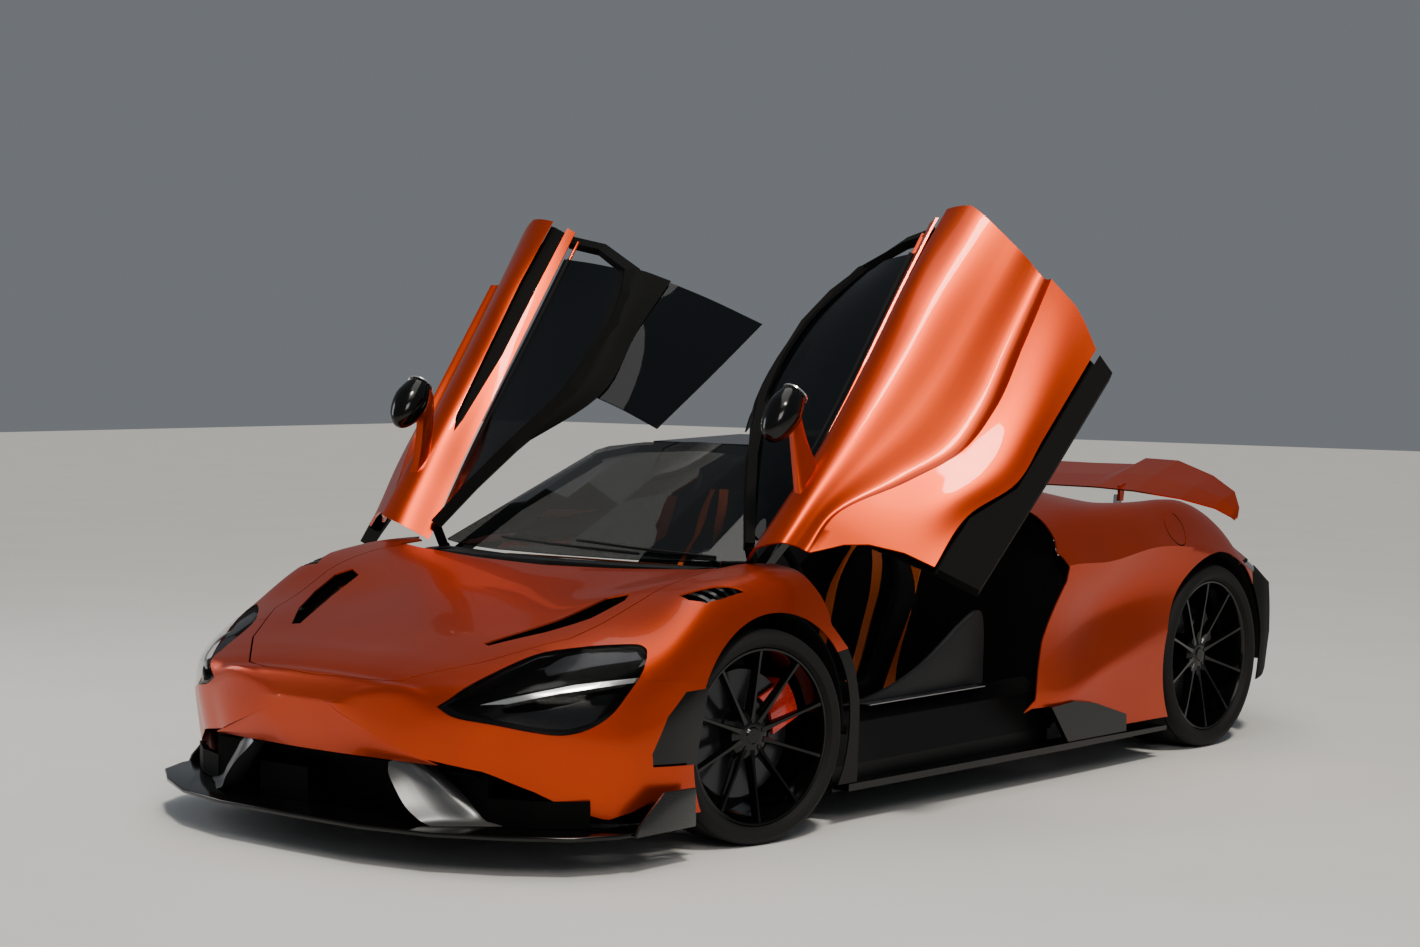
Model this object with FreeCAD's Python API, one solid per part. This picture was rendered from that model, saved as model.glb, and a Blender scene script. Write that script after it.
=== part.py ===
import FreeCAD, Part
import math
import os

# A low two-seat sports car with upswept doors, standing as it parks with both doors open.
# Millimetres. +Z is up, the nose points to -Y, and the car's left side is +X.
# The ground is z = 0 and the origin is the middle of the overall length.
# Stations in the tables are distances behind the front axle.

# Overall sizes
FRONT_OVERHANG = 1085.0
WHEELBASE = 2670.0
REAR_OVERHANG = 845.0
BODY_WIDTH = 1930.0

# Wheels and tyres
FRONT_TRACK = 1656.0
REAR_TRACK = 1589.0
FRONT_TYRE_RADIUS = 325.0
REAR_TYRE_RADIUS = 345.0
FRONT_TYRE_WIDTH = 245.0
REAR_TYRE_WIDTH = 305.0
FRONT_RIM_RADIUS = 271.0
REAR_RIM_RADIUS = 284.0
DISC_RADIUS = 195.0
DISC_THICKNESS = 34.0
HUB_RADIUS = 74.0
SPOKE_COUNT = 10
SPOKE_WIDTH = 11.0
SPINDLE_RADIUS = 28.0
RUNNING_GAP = 0.06
STEER_AT_REST = 9.33
KINGPIN_INSET = 75.0
KINGPIN_RADIUS = 12.0
EYE_REACH = 126.0
EYE_HEIGHT = 22.0
EYE_RADIUS = 22.0
ARM_SPREAD = 95.0
ARCH_GAP = 48.0

# Doors
DOOR_SWING = 68.34
DOOR_AXIS = (0.5954, -0.6927, -0.4069)
DOOR_HINGE_X = 117.4
DOOR_HINGE_STATION = 888.8
DOOR_HINGE_Z = 1181.1
DOOR_GAP = 8.0
DOOR_FRONT_GAP = 15.0
ROOF_GAP = 11.0
DOOR_LIP = 12.0
DOOR_LIP_RUN = 60.0
DOOR_THICKNESS = 46.0
PIN_RADIUS = 9.0

# Panels, glass and seats of fixed pieces
SKIN = 20.0
GLASS = 6.0
SEAT_GAP = 0.3
PANEL_GAP = 6.5

# Cabin and floor
FLOOR_Z = 128.0
UNDERSIDE_Z = 98.0
SILL_TOP_Z = 345.0
SILL_INNER_X = 610.0
TUB_SIDE_X = 868.0
BULKHEAD_STATION = 1640.0
BULKHEAD_THICKNESS = 45.0

# Wing, splitter and diffuser
SPLITTER_Z = 112.0
SPLITTER_THICKNESS = 14.0

# The tables and outlines below are drawn at these sizes, and stretch with the ones above
DRAWN_WIDTH = 1930.0
DRAWN_NOSE = 1085.0
DRAWN_WHEELBASE = 2670.0
DRAWN_TAIL = 845.0

# Derived positions
OVERALL_LENGTH = FRONT_OVERHANG + WHEELBASE + REAR_OVERHANG
FRONT_AXLE_Y = FRONT_OVERHANG - OVERALL_LENGTH / 2
REAR_AXLE_Y = FRONT_AXLE_Y + WHEELBASE
WIDTH_RATIO = BODY_WIDTH / DRAWN_WIDTH
LENGTH_RATIO = WHEELBASE / DRAWN_WHEELBASE
NOSE_RATIO = FRONT_OVERHANG / DRAWN_NOSE
TAIL_RATIO = REAR_OVERHANG / DRAWN_TAIL


def along(station):
    # Turns a station into a Y position, so that nose, cabin and tail each keep their shape.
    if station < 0:
        return FRONT_AXLE_Y + station * NOSE_RATIO
    if station <= DRAWN_WHEELBASE:
        return FRONT_AXLE_Y + station * LENGTH_RATIO
    return REAR_AXLE_Y + (station - DRAWN_WHEELBASE) * TAIL_RATIO


def across(x):
    return x * WIDTH_RATIO


def point(x, station, z):
    return FreeCAD.Vector(across(x), along(station), z)


def box(x0, x1, s0, s1, z0, z1):
    low = FreeCAD.Vector(across(x0), along(s0), z0)
    high = FreeCAD.Vector(across(x1), along(s1), z1)
    return Part.makeBox(high.x - low.x, high.y - low.y, high.z - low.z, low)


def side_prism(outline, x0, x1):
    # A (station, z) outline pushed out across the car.
    points = [point(x0, s, z) for s, z in outline]
    face = Part.Face(Part.makePolygon(points + points[:1]))
    return face.extrude(FreeCAD.Vector(across(x1) - across(x0), 0, 0))


def plan_prism(outline, z0, z1):
    # An (x, station) outline pushed upwards.
    points = [point(x, s, z0) for x, s in outline]
    face = Part.Face(Part.makePolygon(points + points[:1]))
    return face.extrude(FreeCAD.Vector(0, 0, z1 - z0))


def front_prism(outline, s0, s1):
    # An (x, z) outline pushed along the car.
    points = [point(x, s0, z) for x, z in outline]
    face = Part.Face(Part.makePolygon(points + points[:1]))
    return face.extrude(FreeCAD.Vector(0, along(s1) - along(s0), 0))


def loft(sections):
    wires = [Part.makePolygon(list(section) + [section[0]]) for section in sections]
    solid = Part.makeLoft(wires, True, True)
    if solid.Volume < 0:
        solid.reverse()
    return solid


def mirrored(shape):
    return shape.mirror(FreeCAD.Vector(0, 0, 0), FreeCAD.Vector(1, 0, 0))


def joined(shapes):
    whole = shapes[0]
    for shape in shapes[1:]:
        whole = whole.fuse(shape)
    return whole.removeSplitter()


def both_sides(shape):
    return joined([shape, mirrored(shape)])


def bar(points, width, height):
    # A bar with a level rectangular section that follows a line of points.
    sections = []
    for i, here in enumerate(points):
        before = points[max(i - 1, 0)]
        after = points[min(i + 1, len(points) - 1)]
        ahead = (after - before).normalize()
        side = ahead.cross(FreeCAD.Vector(0, 0, 1)).normalize() * (width / 2)
        up = side.cross(ahead).normalize() * (height / 2)
        sections.append([here + side + up, here - side + up, here - side - up, here + side - up])
    return loft(sections)


def pane(low_edge, high_edge, offset):
    # A sheet of glass between two edges, with its thickness along the offset.
    sections = []
    for low, high in zip(low_edge, high_edge):
        sections.append([low, high, high + offset, low + offset])
    return loft(sections)


def cylinder_x(x0, x1, y, z, radius):
    return Part.makeCylinder(radius, x1 - x0, FreeCAD.Vector(x0, y, z), FreeCAD.Vector(1, 0, 0))


def placed(shape, angle, centre, axis):
    moved = shape.copy()
    moved.rotate(centre, axis, angle)
    return moved


def save(name, shape):
    solids = shape.Solids
    if not solids:
        raise ValueError("no solid in " + name)
    out = solids[0] if len(solids) == 1 else Part.makeCompound(solids)
    out.exportStep("parts/" + name + ".step")
    print(name, len(solids), round(sum(s.Volume for s in solids) / 1e6, 2), all(s.isValid() for s in solids))


# Front body sections, half of each from the underside to the top centre
FRONT_COLUMNS = ("station", "bottom_x", "bottom_z", "low_x", "low_z", "wide_x", "wide_z",
                 "crest_x", "crest_z", "valley_x", "valley_z", "mid_x", "mid_z", "top_z")
FRONT_TABLE = (
    (-1002, 210, 396, 232, 412, 238, 445, 228, 480, 160, 490, 80, 494, 495),
    (-945, 480, 296, 505, 362, 520, 440, 480, 500, 350, 523, 180, 533, 536),
    (-860, 640, 250, 665, 330, 683, 420, 655, 505, 500, 548, 250, 568, 572),
    (-760, 770, 180, 790, 280, 800, 400, 765, 515, 600, 575, 300, 596, 598),
    (-640, 880, 150, 890, 240, 893, 400, 845, 545, 640, 618, 320, 630, 632),
    (-480, 925, 140, 938, 250, 942, 430, 900, 600, 680, 668, 340, 672, 675),
    (-250, 940, 140, 950, 300, 955, 560, 895, 735, 690, 762, 380, 735, 735),
    (0, 945, 140, 952, 300, 962, 640, 890, 790, 760, 812, 560, 797, 790),
    (420, 950, 140, 955, 300, 962, 600, 915, 780, 790, 830, 600, 822, 815),
)

# Rear body sections, with the same columns
REAR_TABLE = (
    (1370, 905, 150, 912, 350, 918, 640, 880, 885, 745, 960, 420, 1130, 1165),
    (1600, 925, 150, 932, 350, 930, 690, 872, 885, 735, 968, 410, 1100, 1130),
    (1900, 935, 150, 945, 350, 948, 735, 872, 905, 735, 958, 400, 1020, 1040),
    (2250, 948, 150, 960, 420, 962, 780, 862, 925, 700, 925, 400, 950, 962),
    (2620, 955, 150, 965, 560, 966, 740, 862, 912, 700, 890, 400, 900, 905),
    (2850, 950, 190, 960, 500, 958, 680, 868, 805, 720, 845, 400, 868, 872),
    (3000, 935, 215, 945, 450, 935, 640, 850, 700, 710, 800, 400, 850, 855),
    (3170, 890, 235, 902, 430, 895, 600, 820, 660, 680, 760, 400, 835, 842),
    (3280, 830, 270, 850, 420, 845, 575, 770, 650, 620, 740, 350, 820, 830),
    (3400, 660, 300, 690, 420, 690, 570, 640, 650, 500, 730, 300, 800, 815),
    (3470, 430, 320, 450, 420, 450, 560, 430, 640, 350, 710, 220, 775, 790),
)


def body_section(row, inset):
    v = dict(zip(FRONT_COLUMNS, row))
    half = [
        (0, v["bottom_z"] + inset),
        (v["bottom_x"] - inset, v["bottom_z"] + inset),
        (v["low_x"] - inset, v["low_z"]),
        (v["wide_x"] - inset, v["wide_z"] - inset / 3),
        (v["crest_x"] - inset, v["crest_z"] - inset),
        (v["valley_x"] - inset / 3, v["valley_z"] - inset),
        (v["mid_x"], v["mid_z"] - inset),
        (0, v["top_z"] - inset),
    ]
    other = [(-x, z) for x, z in reversed(half[1:-1])]
    return half + other


def body_loft(table, inset, shorten):
    # shorten pulls the first and the last section inwards, for the hollow of a closed shell.
    sections = []
    for i, row in enumerate(table):
        shift = shorten[0] if i == 0 else (shorten[1] if i == len(table) - 1 else 0)
        sections.append([point(x, row[0] + shift, z) for x, z in body_section(row, inset)])
    return loft(sections)


def arch_cut(axle_y, radius, tyre_radius, depth_x):
    # The round opening of a wheel arch on the left side.
    return cylinder_x(depth_x, BODY_WIDTH, axle_y, tyre_radius, radius)


FRONT_ARCH = FRONT_TYRE_RADIUS + ARCH_GAP
REAR_ARCH = REAR_TYRE_RADIUS + ARCH_GAP
FRONT_WELL_X = FRONT_TRACK / 2 - 300
REAR_WELL_X = REAR_TRACK / 2 - REAR_TYRE_WIDTH / 2 - 60

front_outer = body_loft(FRONT_TABLE, 0, (0, 0))
front_inner = body_loft(FRONT_TABLE, SKIN, (SKIN, SKIN))
front_shell = front_outer.cut(front_inner)
front_hollow = body_loft(FRONT_TABLE, SKIN + SEAT_GAP, (SKIN + SEAT_GAP, 0))
front_arch = arch_cut(FRONT_AXLE_Y, FRONT_ARCH, FRONT_TYRE_RADIUS, FRONT_WELL_X)
front_shell = front_shell.cut(front_arch).cut(mirrored(front_arch))

# The line where the door shuts against the fender, as (station, z)
DOOR_FRONT_EDGE = ((196, 880), (205, 827), (229, 773), (253, 732), (275, 681), (280, 643), (355, 568), (394, 504), (427, 398),
                   (437, 296), (446, 146))
DOOR_REAR_EDGE = ((1569, 1000), (1569, 946), (1592, 913), (1610, 832), (1542, 576), (1505, 482), (1470, 371), (1438, 321),
                  (1377, 244), (1335, 146))


def shifted(edge, shift):
    return [(s + shift, z) for s, z in edge]


behind_door_line = side_prism(shifted(DOOR_FRONT_EDGE, -DOOR_FRONT_GAP) + [(900, 60), (900, 880)], -1000, 1000)
HINGE_NOTCH = ((600, 120), (690, 130), (775, 168), (775, 260), (600, 260))
hinge_notch = plan_prism(HINGE_NOTCH, 600, 1000)
front_shell = front_shell.cut(behind_door_line).cut(hinge_notch).cut(mirrored(hinge_notch))

# The bonnet's seam in plan, as (x, station)
BONNET_SEAM = ((0, -985), (220, -975), (330, -940), (490, -790), (640, -570), (690, -300), (698, -80), (682, 44),
               (520, 38), (300, 5), (0, -15))


def seam_prism(seam, grow, z0, z1):
    half = [(x + (grow if x else 0), s - (grow if s < -600 else 0) + (grow if s > -50 else 0)) for x, s in seam]
    outline = half + [(-x, s) for x, s in reversed(half) if x]
    return plan_prism(outline, z0, z1)


BONNET_LOW_Z = 440
bonnet_hole = seam_prism(BONNET_SEAM, PANEL_GAP, BONNET_LOW_Z - PANEL_GAP, 1200)
CABIN_FRONT = ((700, 30), (710, 900), (-710, 900), (-700, 30), (-520, 40), (-300, 7), (0, -13), (300, 7), (520, 40))
cabin_front = plan_prism(CABIN_FRONT, BONNET_LOW_Z, 1200)
bonnet = front_shell.common(seam_prism(BONNET_SEAM, 0, BONNET_LOW_Z, 1200))
front_shell = front_shell.cut(bonnet_hole).cut(cabin_front)

# The open mouth under the nose and the belly
MOUTH = ((0, 296), (261, 296), (300, 312), (410, 318), (546, 299), (605, 288), (725, 233), (809, 180), (870, 150),
         (905, 168), (934, 205), (960, 214), (980, 214), (980, 60), (0, 60))
mouth_outline = list(MOUTH) + [(-x, z) for x, z in reversed(MOUTH) if x]
mouth_cut = front_prism(mouth_outline, -1100, -420)
front_shell = front_shell.cut(mouth_cut).cut(box(-905, 905, -420, 900, 60, 300))

# Headlamp sockets, outlined as seen from ahead and outboard
LAMP_OUTLINE = ((484, 466), (530, 500), (563, 548), (613, 602), (696, 623), (787, 633), (844, 632), (873, 614),
                (896, 565), (894, 505), (877, 446), (843, 410), (796, 395), (737, 403), (628, 426), (529, 442))
LAMP_STATIONS = (-965, -380)
LAMP_RECESS = 8.0
LAMP_DEPTH = 75.0
LAMP_MIDDLE = (740, 510)
LENS_SCALE = 0.985
FLANGE_SCALE = 1.05


def lamp_prism(scale):
    middle_x, middle_z = LAMP_MIDDLE
    outline = [(middle_x + (x - middle_x) * scale, middle_z + (z - middle_z) * scale) for x, z in LAMP_OUTLINE]
    return front_prism(outline, *LAMP_STATIONS)


lamp_region = lamp_prism(1)
bonnet_room = seam_prism(BONNET_SEAM, PANEL_GAP, BONNET_LOW_Z - PANEL_GAP, 1200)
lens_layer = body_loft(FRONT_TABLE, LAMP_RECESS, (LAMP_RECESS, 0)).cut(front_hollow)
flange_layer = front_hollow.cut(bonnet_room).cut(body_loft(FRONT_TABLE, LAMP_DEPTH, (LAMP_DEPTH, LAMP_DEPTH)))
RIM_SCALE = 0.90
BOWL_DEPTH = 60.0
lamp_rim = lens_layer.common(lamp_prism(LENS_SCALE)).cut(lamp_prism(RIM_SCALE))
lamp_bowl = flange_layer.common(lamp_prism(FLANGE_SCALE))
bowl_hollow = front_outer.cut(body_loft(FRONT_TABLE, BOWL_DEPTH, (BOWL_DEPTH, BOWL_DEPTH))).common(lamp_prism(RIM_SCALE))
lamp_bowl = lamp_bowl.cut(bowl_hollow)
LIGHT_BAR_LINE = ((618, -822, 478), (676, -748, 495), (756, -660, 513), (838, -535, 534))
LIGHT_BAR_WIDTH = 74.0
LIGHT_BAR_HEIGHT = 20.0
light_bar = bar([point(*p) for p in LIGHT_BAR_LINE], LIGHT_BAR_WIDTH, LIGHT_BAR_HEIGHT)
bar_room = body_loft(FRONT_TABLE, 2 * LAMP_RECESS, (2 * LAMP_RECESS, 0)).cut(body_loft(FRONT_TABLE, LAMP_DEPTH, (LAMP_DEPTH, LAMP_DEPTH)))
light_bar = light_bar.common(bar_room).common(lamp_prism(LENS_SCALE))
headlamp_left = joined([lamp_rim, lamp_bowl, light_bar]).cut(front_arch)
front_shell = front_shell.cut(lamp_region).cut(mirrored(lamp_region))

# Air outlets ahead of the front wheels, as (station, z)
OUTLET = ((-405, 499), (-300, 503), (-325, 400), (-345, 283), (-530, 293), (-535, 333), (-478, 434))
outlet_cut = side_prism(OUTLET, 880, 1000)
front_shell = front_shell.cut(outlet_cut).cut(mirrored(outlet_cut))
# Vents in the top of the bonnet and the fenders are pockets, outlined in plan as (x, station)
VENT_DEPTH = 13.0
BONNET_VENT = ((400, -680), (500, -460), (545, -300), (610, -270), (634, -320), (605, -440), (535, -565),
               (430, -690))
FENDER_VENT = ((790, -262), (830, -190), (846, -158), (905, -80), (900, -190), (888, -250), (845, -272))
vent_layer = front_outer.cut(body_loft(FRONT_TABLE, VENT_DEPTH, (VENT_DEPTH, VENT_DEPTH)))
bonnet_vent = plan_prism(BONNET_VENT, 560, 900).common(vent_layer)
fender_vent = plan_prism(FENDER_VENT, 600, 900).common(vent_layer)
bonnet = bonnet.cut(bonnet_vent).cut(mirrored(bonnet_vent))
front_shell = front_shell.cut(fender_vent).cut(mirrored(fender_vent))

# The bonnet's goose-neck hinges, on pins carried by brackets of the tub
LID_PIN_STATION = 78
LID_PIN_Z = 788
LID_PIN_RADIUS = 6.0
LID_LUG = ((0, 772), (60, 768), (90, 776), (90, 800), (68, 800), (40, 790), (0, 790))
lid_lug = side_prism(LID_LUG, 560, 572)
lid_pin = cylinder_x(across(560), across(592), along(LID_PIN_STATION), LID_PIN_Z, LID_PIN_RADIUS)
lid_hinge = joined([lid_lug, lid_pin])
bonnet = joined([bonnet, lid_hinge, mirrored(lid_hinge)])
lid_bore = cylinder_x(across(570), across(594), along(LID_PIN_STATION), LID_PIN_Z, LID_PIN_RADIUS + RUNNING_GAP)
LID_BRACKET = ((64, 776), (64, 800), (92, 800), (149, 778), (149, 752), (112, 752))
lid_bracket = side_prism(LID_BRACKET, 576, 590).cut(lid_bore)
lid_room = box(550, 598, 40, 160, 750, 806)

# The fenders and the bumper part along a seam from the headlamp to the arch
BUMPER_LINE = ((-1100, 640), (-700, 640), (-600, 560), (-560, 545), (-300, 520), (-300, 60), (-1100, 60))
front_bumper = front_shell.common(side_prism(BUMPER_LINE, -1000, 1000))
fender_both = front_shell.cut(side_prism(shifted(BUMPER_LINE, SEAT_GAP), -1000, 1000))
left_half = box(0, 1200, -1200, 3700, 0, 1500)
fender_left = fender_both.common(left_half)

rear_outer = body_loft(REAR_TABLE, 0, (0, 0))
rear_inner = body_loft(REAR_TABLE, SKIN, (-SKIN, -SKIN))
rear_shell = rear_outer.cut(rear_inner)
rear_arch = arch_cut(REAR_AXLE_Y, REAR_ARCH, REAR_TYRE_RADIUS, REAR_WELL_X)
rear_hollow = body_loft(REAR_TABLE, SKIN + SEAT_GAP, (0, -SKIN - SEAT_GAP))
rear_shell = rear_shell.cut(rear_arch).cut(mirrored(rear_arch))
rear_shell = rear_shell.cut(box(-895, 895, 900, 3320, 60, 200)).cut(box(-860, 860, 2600, 3200, 60, 285))

# The front edge of the rear quarter, behind the door and its air intake
QUARTER_EDGE = ((1510, 1200), (1580, 1000), (1590, 930), (1450, 900), (1540, 842), (1630, 770), (1649, 736),
                (1644, 689), (1567, 568), (1520, 487), (1492, 397), (1470, 288), (1400, 233), (1360, 150),
                (1360, 60), (900, 60), (900, 1200))
rear_shell = rear_shell.cut(side_prism(QUARTER_EDGE, -1000, 1000))
TAIL_STATION = 2975
TAIL_SPLIT_Z = 672
TAIL_END = 3600
below_deck = side_prism(((TAIL_STATION, TAIL_SPLIT_Z), (TAIL_END, TAIL_SPLIT_Z), (TAIL_END, 60), (TAIL_STATION, 60)),
                        -1000, 1000)
rear_bumper = rear_shell.common(below_deck)
rear_shell = rear_shell.cut(box(-1000, 1000, TAIL_STATION - SEAT_GAP, TAIL_END, 60, TAIL_SPLIT_Z + SEAT_GAP))
COVER_PLAN = ((0, 1300), (560, 1300), (540, 1650), (470, 2100), (430, 2600), (430, TAIL_END), (0, TAIL_END))
cover_outline = list(COVER_PLAN) + [(-x, s) for x, s in reversed(COVER_PLAN) if x]
engine_cover = rear_shell.common(plan_prism(cover_outline, 500, 1300))
cover_grown = [(x + math.copysign(SEAT_GAP, x), s) for x, s in cover_outline if x]
quarter_left = rear_shell.cut(plan_prism(cover_grown, 500, 1300)).common(box(SEAT_GAP / 2, 1000, 900, TAIL_END, 60, 1300))

# Louvres in the engine cover
LOUVRE_COUNT = 5
LOUVRE_PITCH = 105
LOUVRE_FROM = 1720
LOUVRE_LENGTH = 34
LOUVRE_X = 250
for i in range(LOUVRE_COUNT):
    start = LOUVRE_FROM + i * LOUVRE_PITCH
    engine_cover = engine_cover.cut(box(-LOUVRE_X, LOUVRE_X, start, start + LOUVRE_LENGTH, 600, 1300))

# The fuel flap on the left haunch is outlined by a groove
FLAP_STATION = 2393
FLAP_Z = 837
FLAP_RADIUS = 60.0
GROOVE = 3.0
flap_groove = cylinder_x(across(896), across(1000), along(FLAP_STATION), FLAP_Z, FLAP_RADIUS + GROOVE)
flap_groove = flap_groove.cut(cylinder_x(across(895), across(1001), along(FLAP_STATION), FLAP_Z, FLAP_RADIUS))

# The grille in the tail, with room for the exhaust pipes between its two halves
GRILLE_X = 290
GRILLE_LOW = 390
GRILLE_HIGH = 640
PIPE_ROOM_X = 165
GRILLE_BAR = 7
rear_bumper = rear_bumper.cut(box(-GRILLE_X, GRILLE_X, 3430, TAIL_END, GRILLE_LOW, GRILLE_HIGH))
grille_bars = [box(-GRILLE_X - 5, GRILLE_X + 5, 3452, 3466, z, z + GRILLE_BAR) for z in (410, 440, 470, 500)]
grille_posts = [box(x - GRILLE_BAR / 2, x + GRILLE_BAR / 2, 3452, 3466, GRILLE_LOW - 5, GRILLE_HIGH + 5)
                for x in (-260, -225, -190, 190, 225, 260)]
rear_bumper = joined([rear_bumper] + grille_bars + grille_posts)

# Tail lamps are thin bands let into the bumper just below its top edge
TAIL_LAMP_DEPTH = 16.0
TAIL_LAMP_X = 330
tail_band = box(TAIL_LAMP_X, 1000, TAIL_STATION + 20, TAIL_END, 642, 666)
tail_layer = rear_outer.cut(body_loft(REAR_TABLE, TAIL_LAMP_DEPTH, (0, -TAIL_LAMP_DEPTH)))
tail_lamp = tail_layer.common(tail_band)
rear_bumper = rear_bumper.cut(tail_lamp).cut(mirrored(tail_lamp))

# Doors, drawn shut on the left side and then swung open
DOOR_COLUMNS = ("station", "belt_x", "belt_z", "shoulder_x", "shoulder_z", "crest_x", "crest_z", "mid_x", "mid_z",
                "under_x", "under_z", "blade_x", "blade_z", "crease_x", "crease_z", "bottom_x", "bottom_z")
DOOR_TABLE = (
    (180, 745, 822, 872, 795, 922, 735, 918, 700, 906, 672, 906, 655, 908, 480, 912, 296),
    (280, 752, 820, 880, 794, 926, 732, 920, 695, 908, 660, 910, 645, 914, 470, 918, 297),
    (420, 763, 820, 885, 796, 927, 738, 922, 690, 912, 652, 924, 640, 930, 440, 928, 298),
    (640, 775, 823, 892, 802, 929, 748, 924, 650, 914, 530, 940, 508, 946, 360, 935, 297),
    (820, 781, 843, 898, 815, 933, 757, 924, 620, 911, 438, 948, 418, 948, 290, 934, 226),
    (1000, 788, 868, 905, 832, 938, 766, 926, 610, 912, 430, 953, 404, 948, 290, 934, 230),
    (1250, 796, 903, 922, 858, 948, 784, 934, 620, 920, 468, 960, 440, 951, 328, 934, 238),
    (1620, 806, 953, 905, 905, 962, 832, 955, 640, 940, 524, 970, 500, 955, 402, 936, 250),
)


def door_section(row):
    v = dict(zip(DOOR_COLUMNS, row))
    names = ("belt", "shoulder", "crest", "mid", "under", "blade", "crease", "bottom")
    outer = [(v[n + "_x"], v[n + "_z"]) for n in names]
    inner_names = ("bottom", "crease", "mid", "crest", "shoulder", "belt")
    inner = []
    for n in inner_names:
        inset = 0 if n == "belt" else DOOR_THICKNESS
        drop = 36 if n in ("belt", "shoulder") else (14 if n == "crest" else 0)
        inner.append((v[n + "_x"] - inset, v[n + "_z"] - drop))
    return [point(x, v["station"], z) for x, z in outer + inner]


door_block = loft([door_section(row) for row in DOOR_TABLE])
door_side = side_prism(list(DOOR_FRONT_EDGE) + list(reversed(DOOR_REAR_EDGE)), 600, 1100)
door_skin = door_block.common(door_side)
lip_edge = [(s, z) for s, z in DOOR_FRONT_EDGE if z > 640]
lip_zone = side_prism(shifted(lip_edge, -20) + list(reversed(shifted(lip_edge, DOOR_LIP_RUN))), 600, 1100)
below_lip = door_block.copy()
below_lip.translate(FreeCAD.Vector(-DOOR_LIP, 0, -DOOR_LIP))
door_skin = door_skin.cut(lip_zone.common(below_lip))

BELT_LINE = ((752, 300, 826), (766, 560, 824), (776, 850, 850), (784, 1150, 890), (794, 1450, 930))
RAIL_LINE = ((738, 318, 880), (655, 575, 1010), (578, 840, 1112), (562, 1150, 1138), (600, 1440, 1068))
belt = [point(*p) for p in BELT_LINE]
rail = [point(*p) for p in RAIL_LINE]
side_glass = pane(belt, rail, FreeCAD.Vector(-GLASS, 0, 0))
ROOF_INNER = ((246, 840, 1172), (150, 1160, 1182), (64, 1470, 1168))
ROOF_OUTER = ((535, 850, 1128), (530, 1160, 1150), (505, 1450, 1112))
roof_glass = pane([point(*p) for p in ROOF_INNER], [point(*p) for p in ROOF_OUTER], FreeCAD.Vector(0, 0, -GLASS))
FRAME_COLUMNS = ("x", "station", "z", "width", "height")
FRAME_TABLE = (
    (752, 262, 838, 40, 30),
    (708, 420, 930, 42, 30),
    (655, 580, 1016, 46, 30),
    (560, 838, 1122, 62, 30),
    (524, 1000, 1142, 84, 28),
    (516, 1150, 1150, 92, 28),
    (530, 1300, 1128, 84, 28),
    (566, 1440, 1082, 60, 28),
    (690, 1530, 990, 40, 30),
    (800, 1545, 912, 36, 30),
)


def rail_bar(grow):
    # The door's upper frame, narrow at the pillars and wide beside the roof glass.
    rows = [dict(zip(FRAME_COLUMNS, row)) for row in FRAME_TABLE]
    line = [point(v["x"], v["station"], v["z"]) for v in rows]
    sections = []
    for i, v in enumerate(rows):
        forward = (line[min(i + 1, len(line) - 1)] - line[max(i - 1, 0)]).normalize()
        side = forward.cross(FreeCAD.Vector(0, 0, 1)).normalize() * (v["width"] / 2 + grow)
        up = side.cross(forward).normalize() * (v["height"] / 2 + grow)
        sections.append([line[i] + side + up, line[i] - side + up, line[i] - side - up, line[i] + side - up])
    return loft(sections)


frame_bar = rail_bar(0)
ROCKER = ((438, 285), (446, 146), (900, 150), (1335, 160), (1370, 224), (810, 216), (640, 290))
rocker = side_prism(ROCKER, 874, 925)
INNER_PANEL = ((300, 780), (400, 560), (450, 200), (1340, 200), (1480, 560), (1540, 860), (1000, 820), (560, 770))
inner_panel = side_prism(INNER_PANEL, 874, 890)
door_frame = joined([frame_bar, rocker, inner_panel]).cut(door_block)
MIRROR_ARM = (
    ((890, 428, 790), (890, 546, 796), (914, 546, 780), (914, 428, 774)),
    ((930, 520, 850), (930, 600, 862), (952, 600, 848), (952, 520, 836)),
    ((975, 590, 915), (975, 660, 935), (1000, 660, 922), (1000, 590, 902)),
)
mirror_arm = loft([[point(*corner) for corner in section] for section in MIRROR_ARM])
MIRROR_MIDDLE = (574, 934)
MIRROR_SECTIONS = ((980, 0.62), (1000, 0.92), (1035, 1.0), (1066, 0.86), (1084, 0.50))
MIRROR_OUTLINE = ((-104, -20), (-50, -40), (40, -50), (116, -42), (114, 44), (60, 54), (-20, 52), (-86, 34), (-118, 6))


def mirror_ring(x, scale):
    station, z = MIRROR_MIDDLE
    return [point(x, station + s * scale, z + rise * scale) for s, rise in MIRROR_OUTLINE]


mirror_cap = loft([mirror_ring(x, scale) for x, scale in MIRROR_SECTIONS])
door_mirror = joined([mirror_arm, mirror_cap]).cut(door_block)
door_glass = Part.makeCompound([side_glass.cut(door_frame).cut(door_block), roof_glass.cut(door_frame)])

HINGE_CENTRE = FreeCAD.Vector(across(DOOR_HINGE_X), along(DOOR_HINGE_STATION), DOOR_HINGE_Z)
HINGE_AXIS = FreeCAD.Vector(*DOOR_AXIS)


def swung(shape):
    return placed(shape, DOOR_SWING, HINGE_CENTRE, HINGE_AXIS)


# The lower door hinge, a pin of the door in a knuckle on the hinge post
HINGE_LINE = FreeCAD.Vector(*DOOR_AXIS)
KNUCKLE_FROM = 985.0
KNUCKLE_LENGTH = 32.0
KNUCKLE_RADIUS = 13.0
PIN_FROM = 935.0


def on_hinge(distance):
    return HINGE_CENTRE + HINGE_LINE * distance


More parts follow.
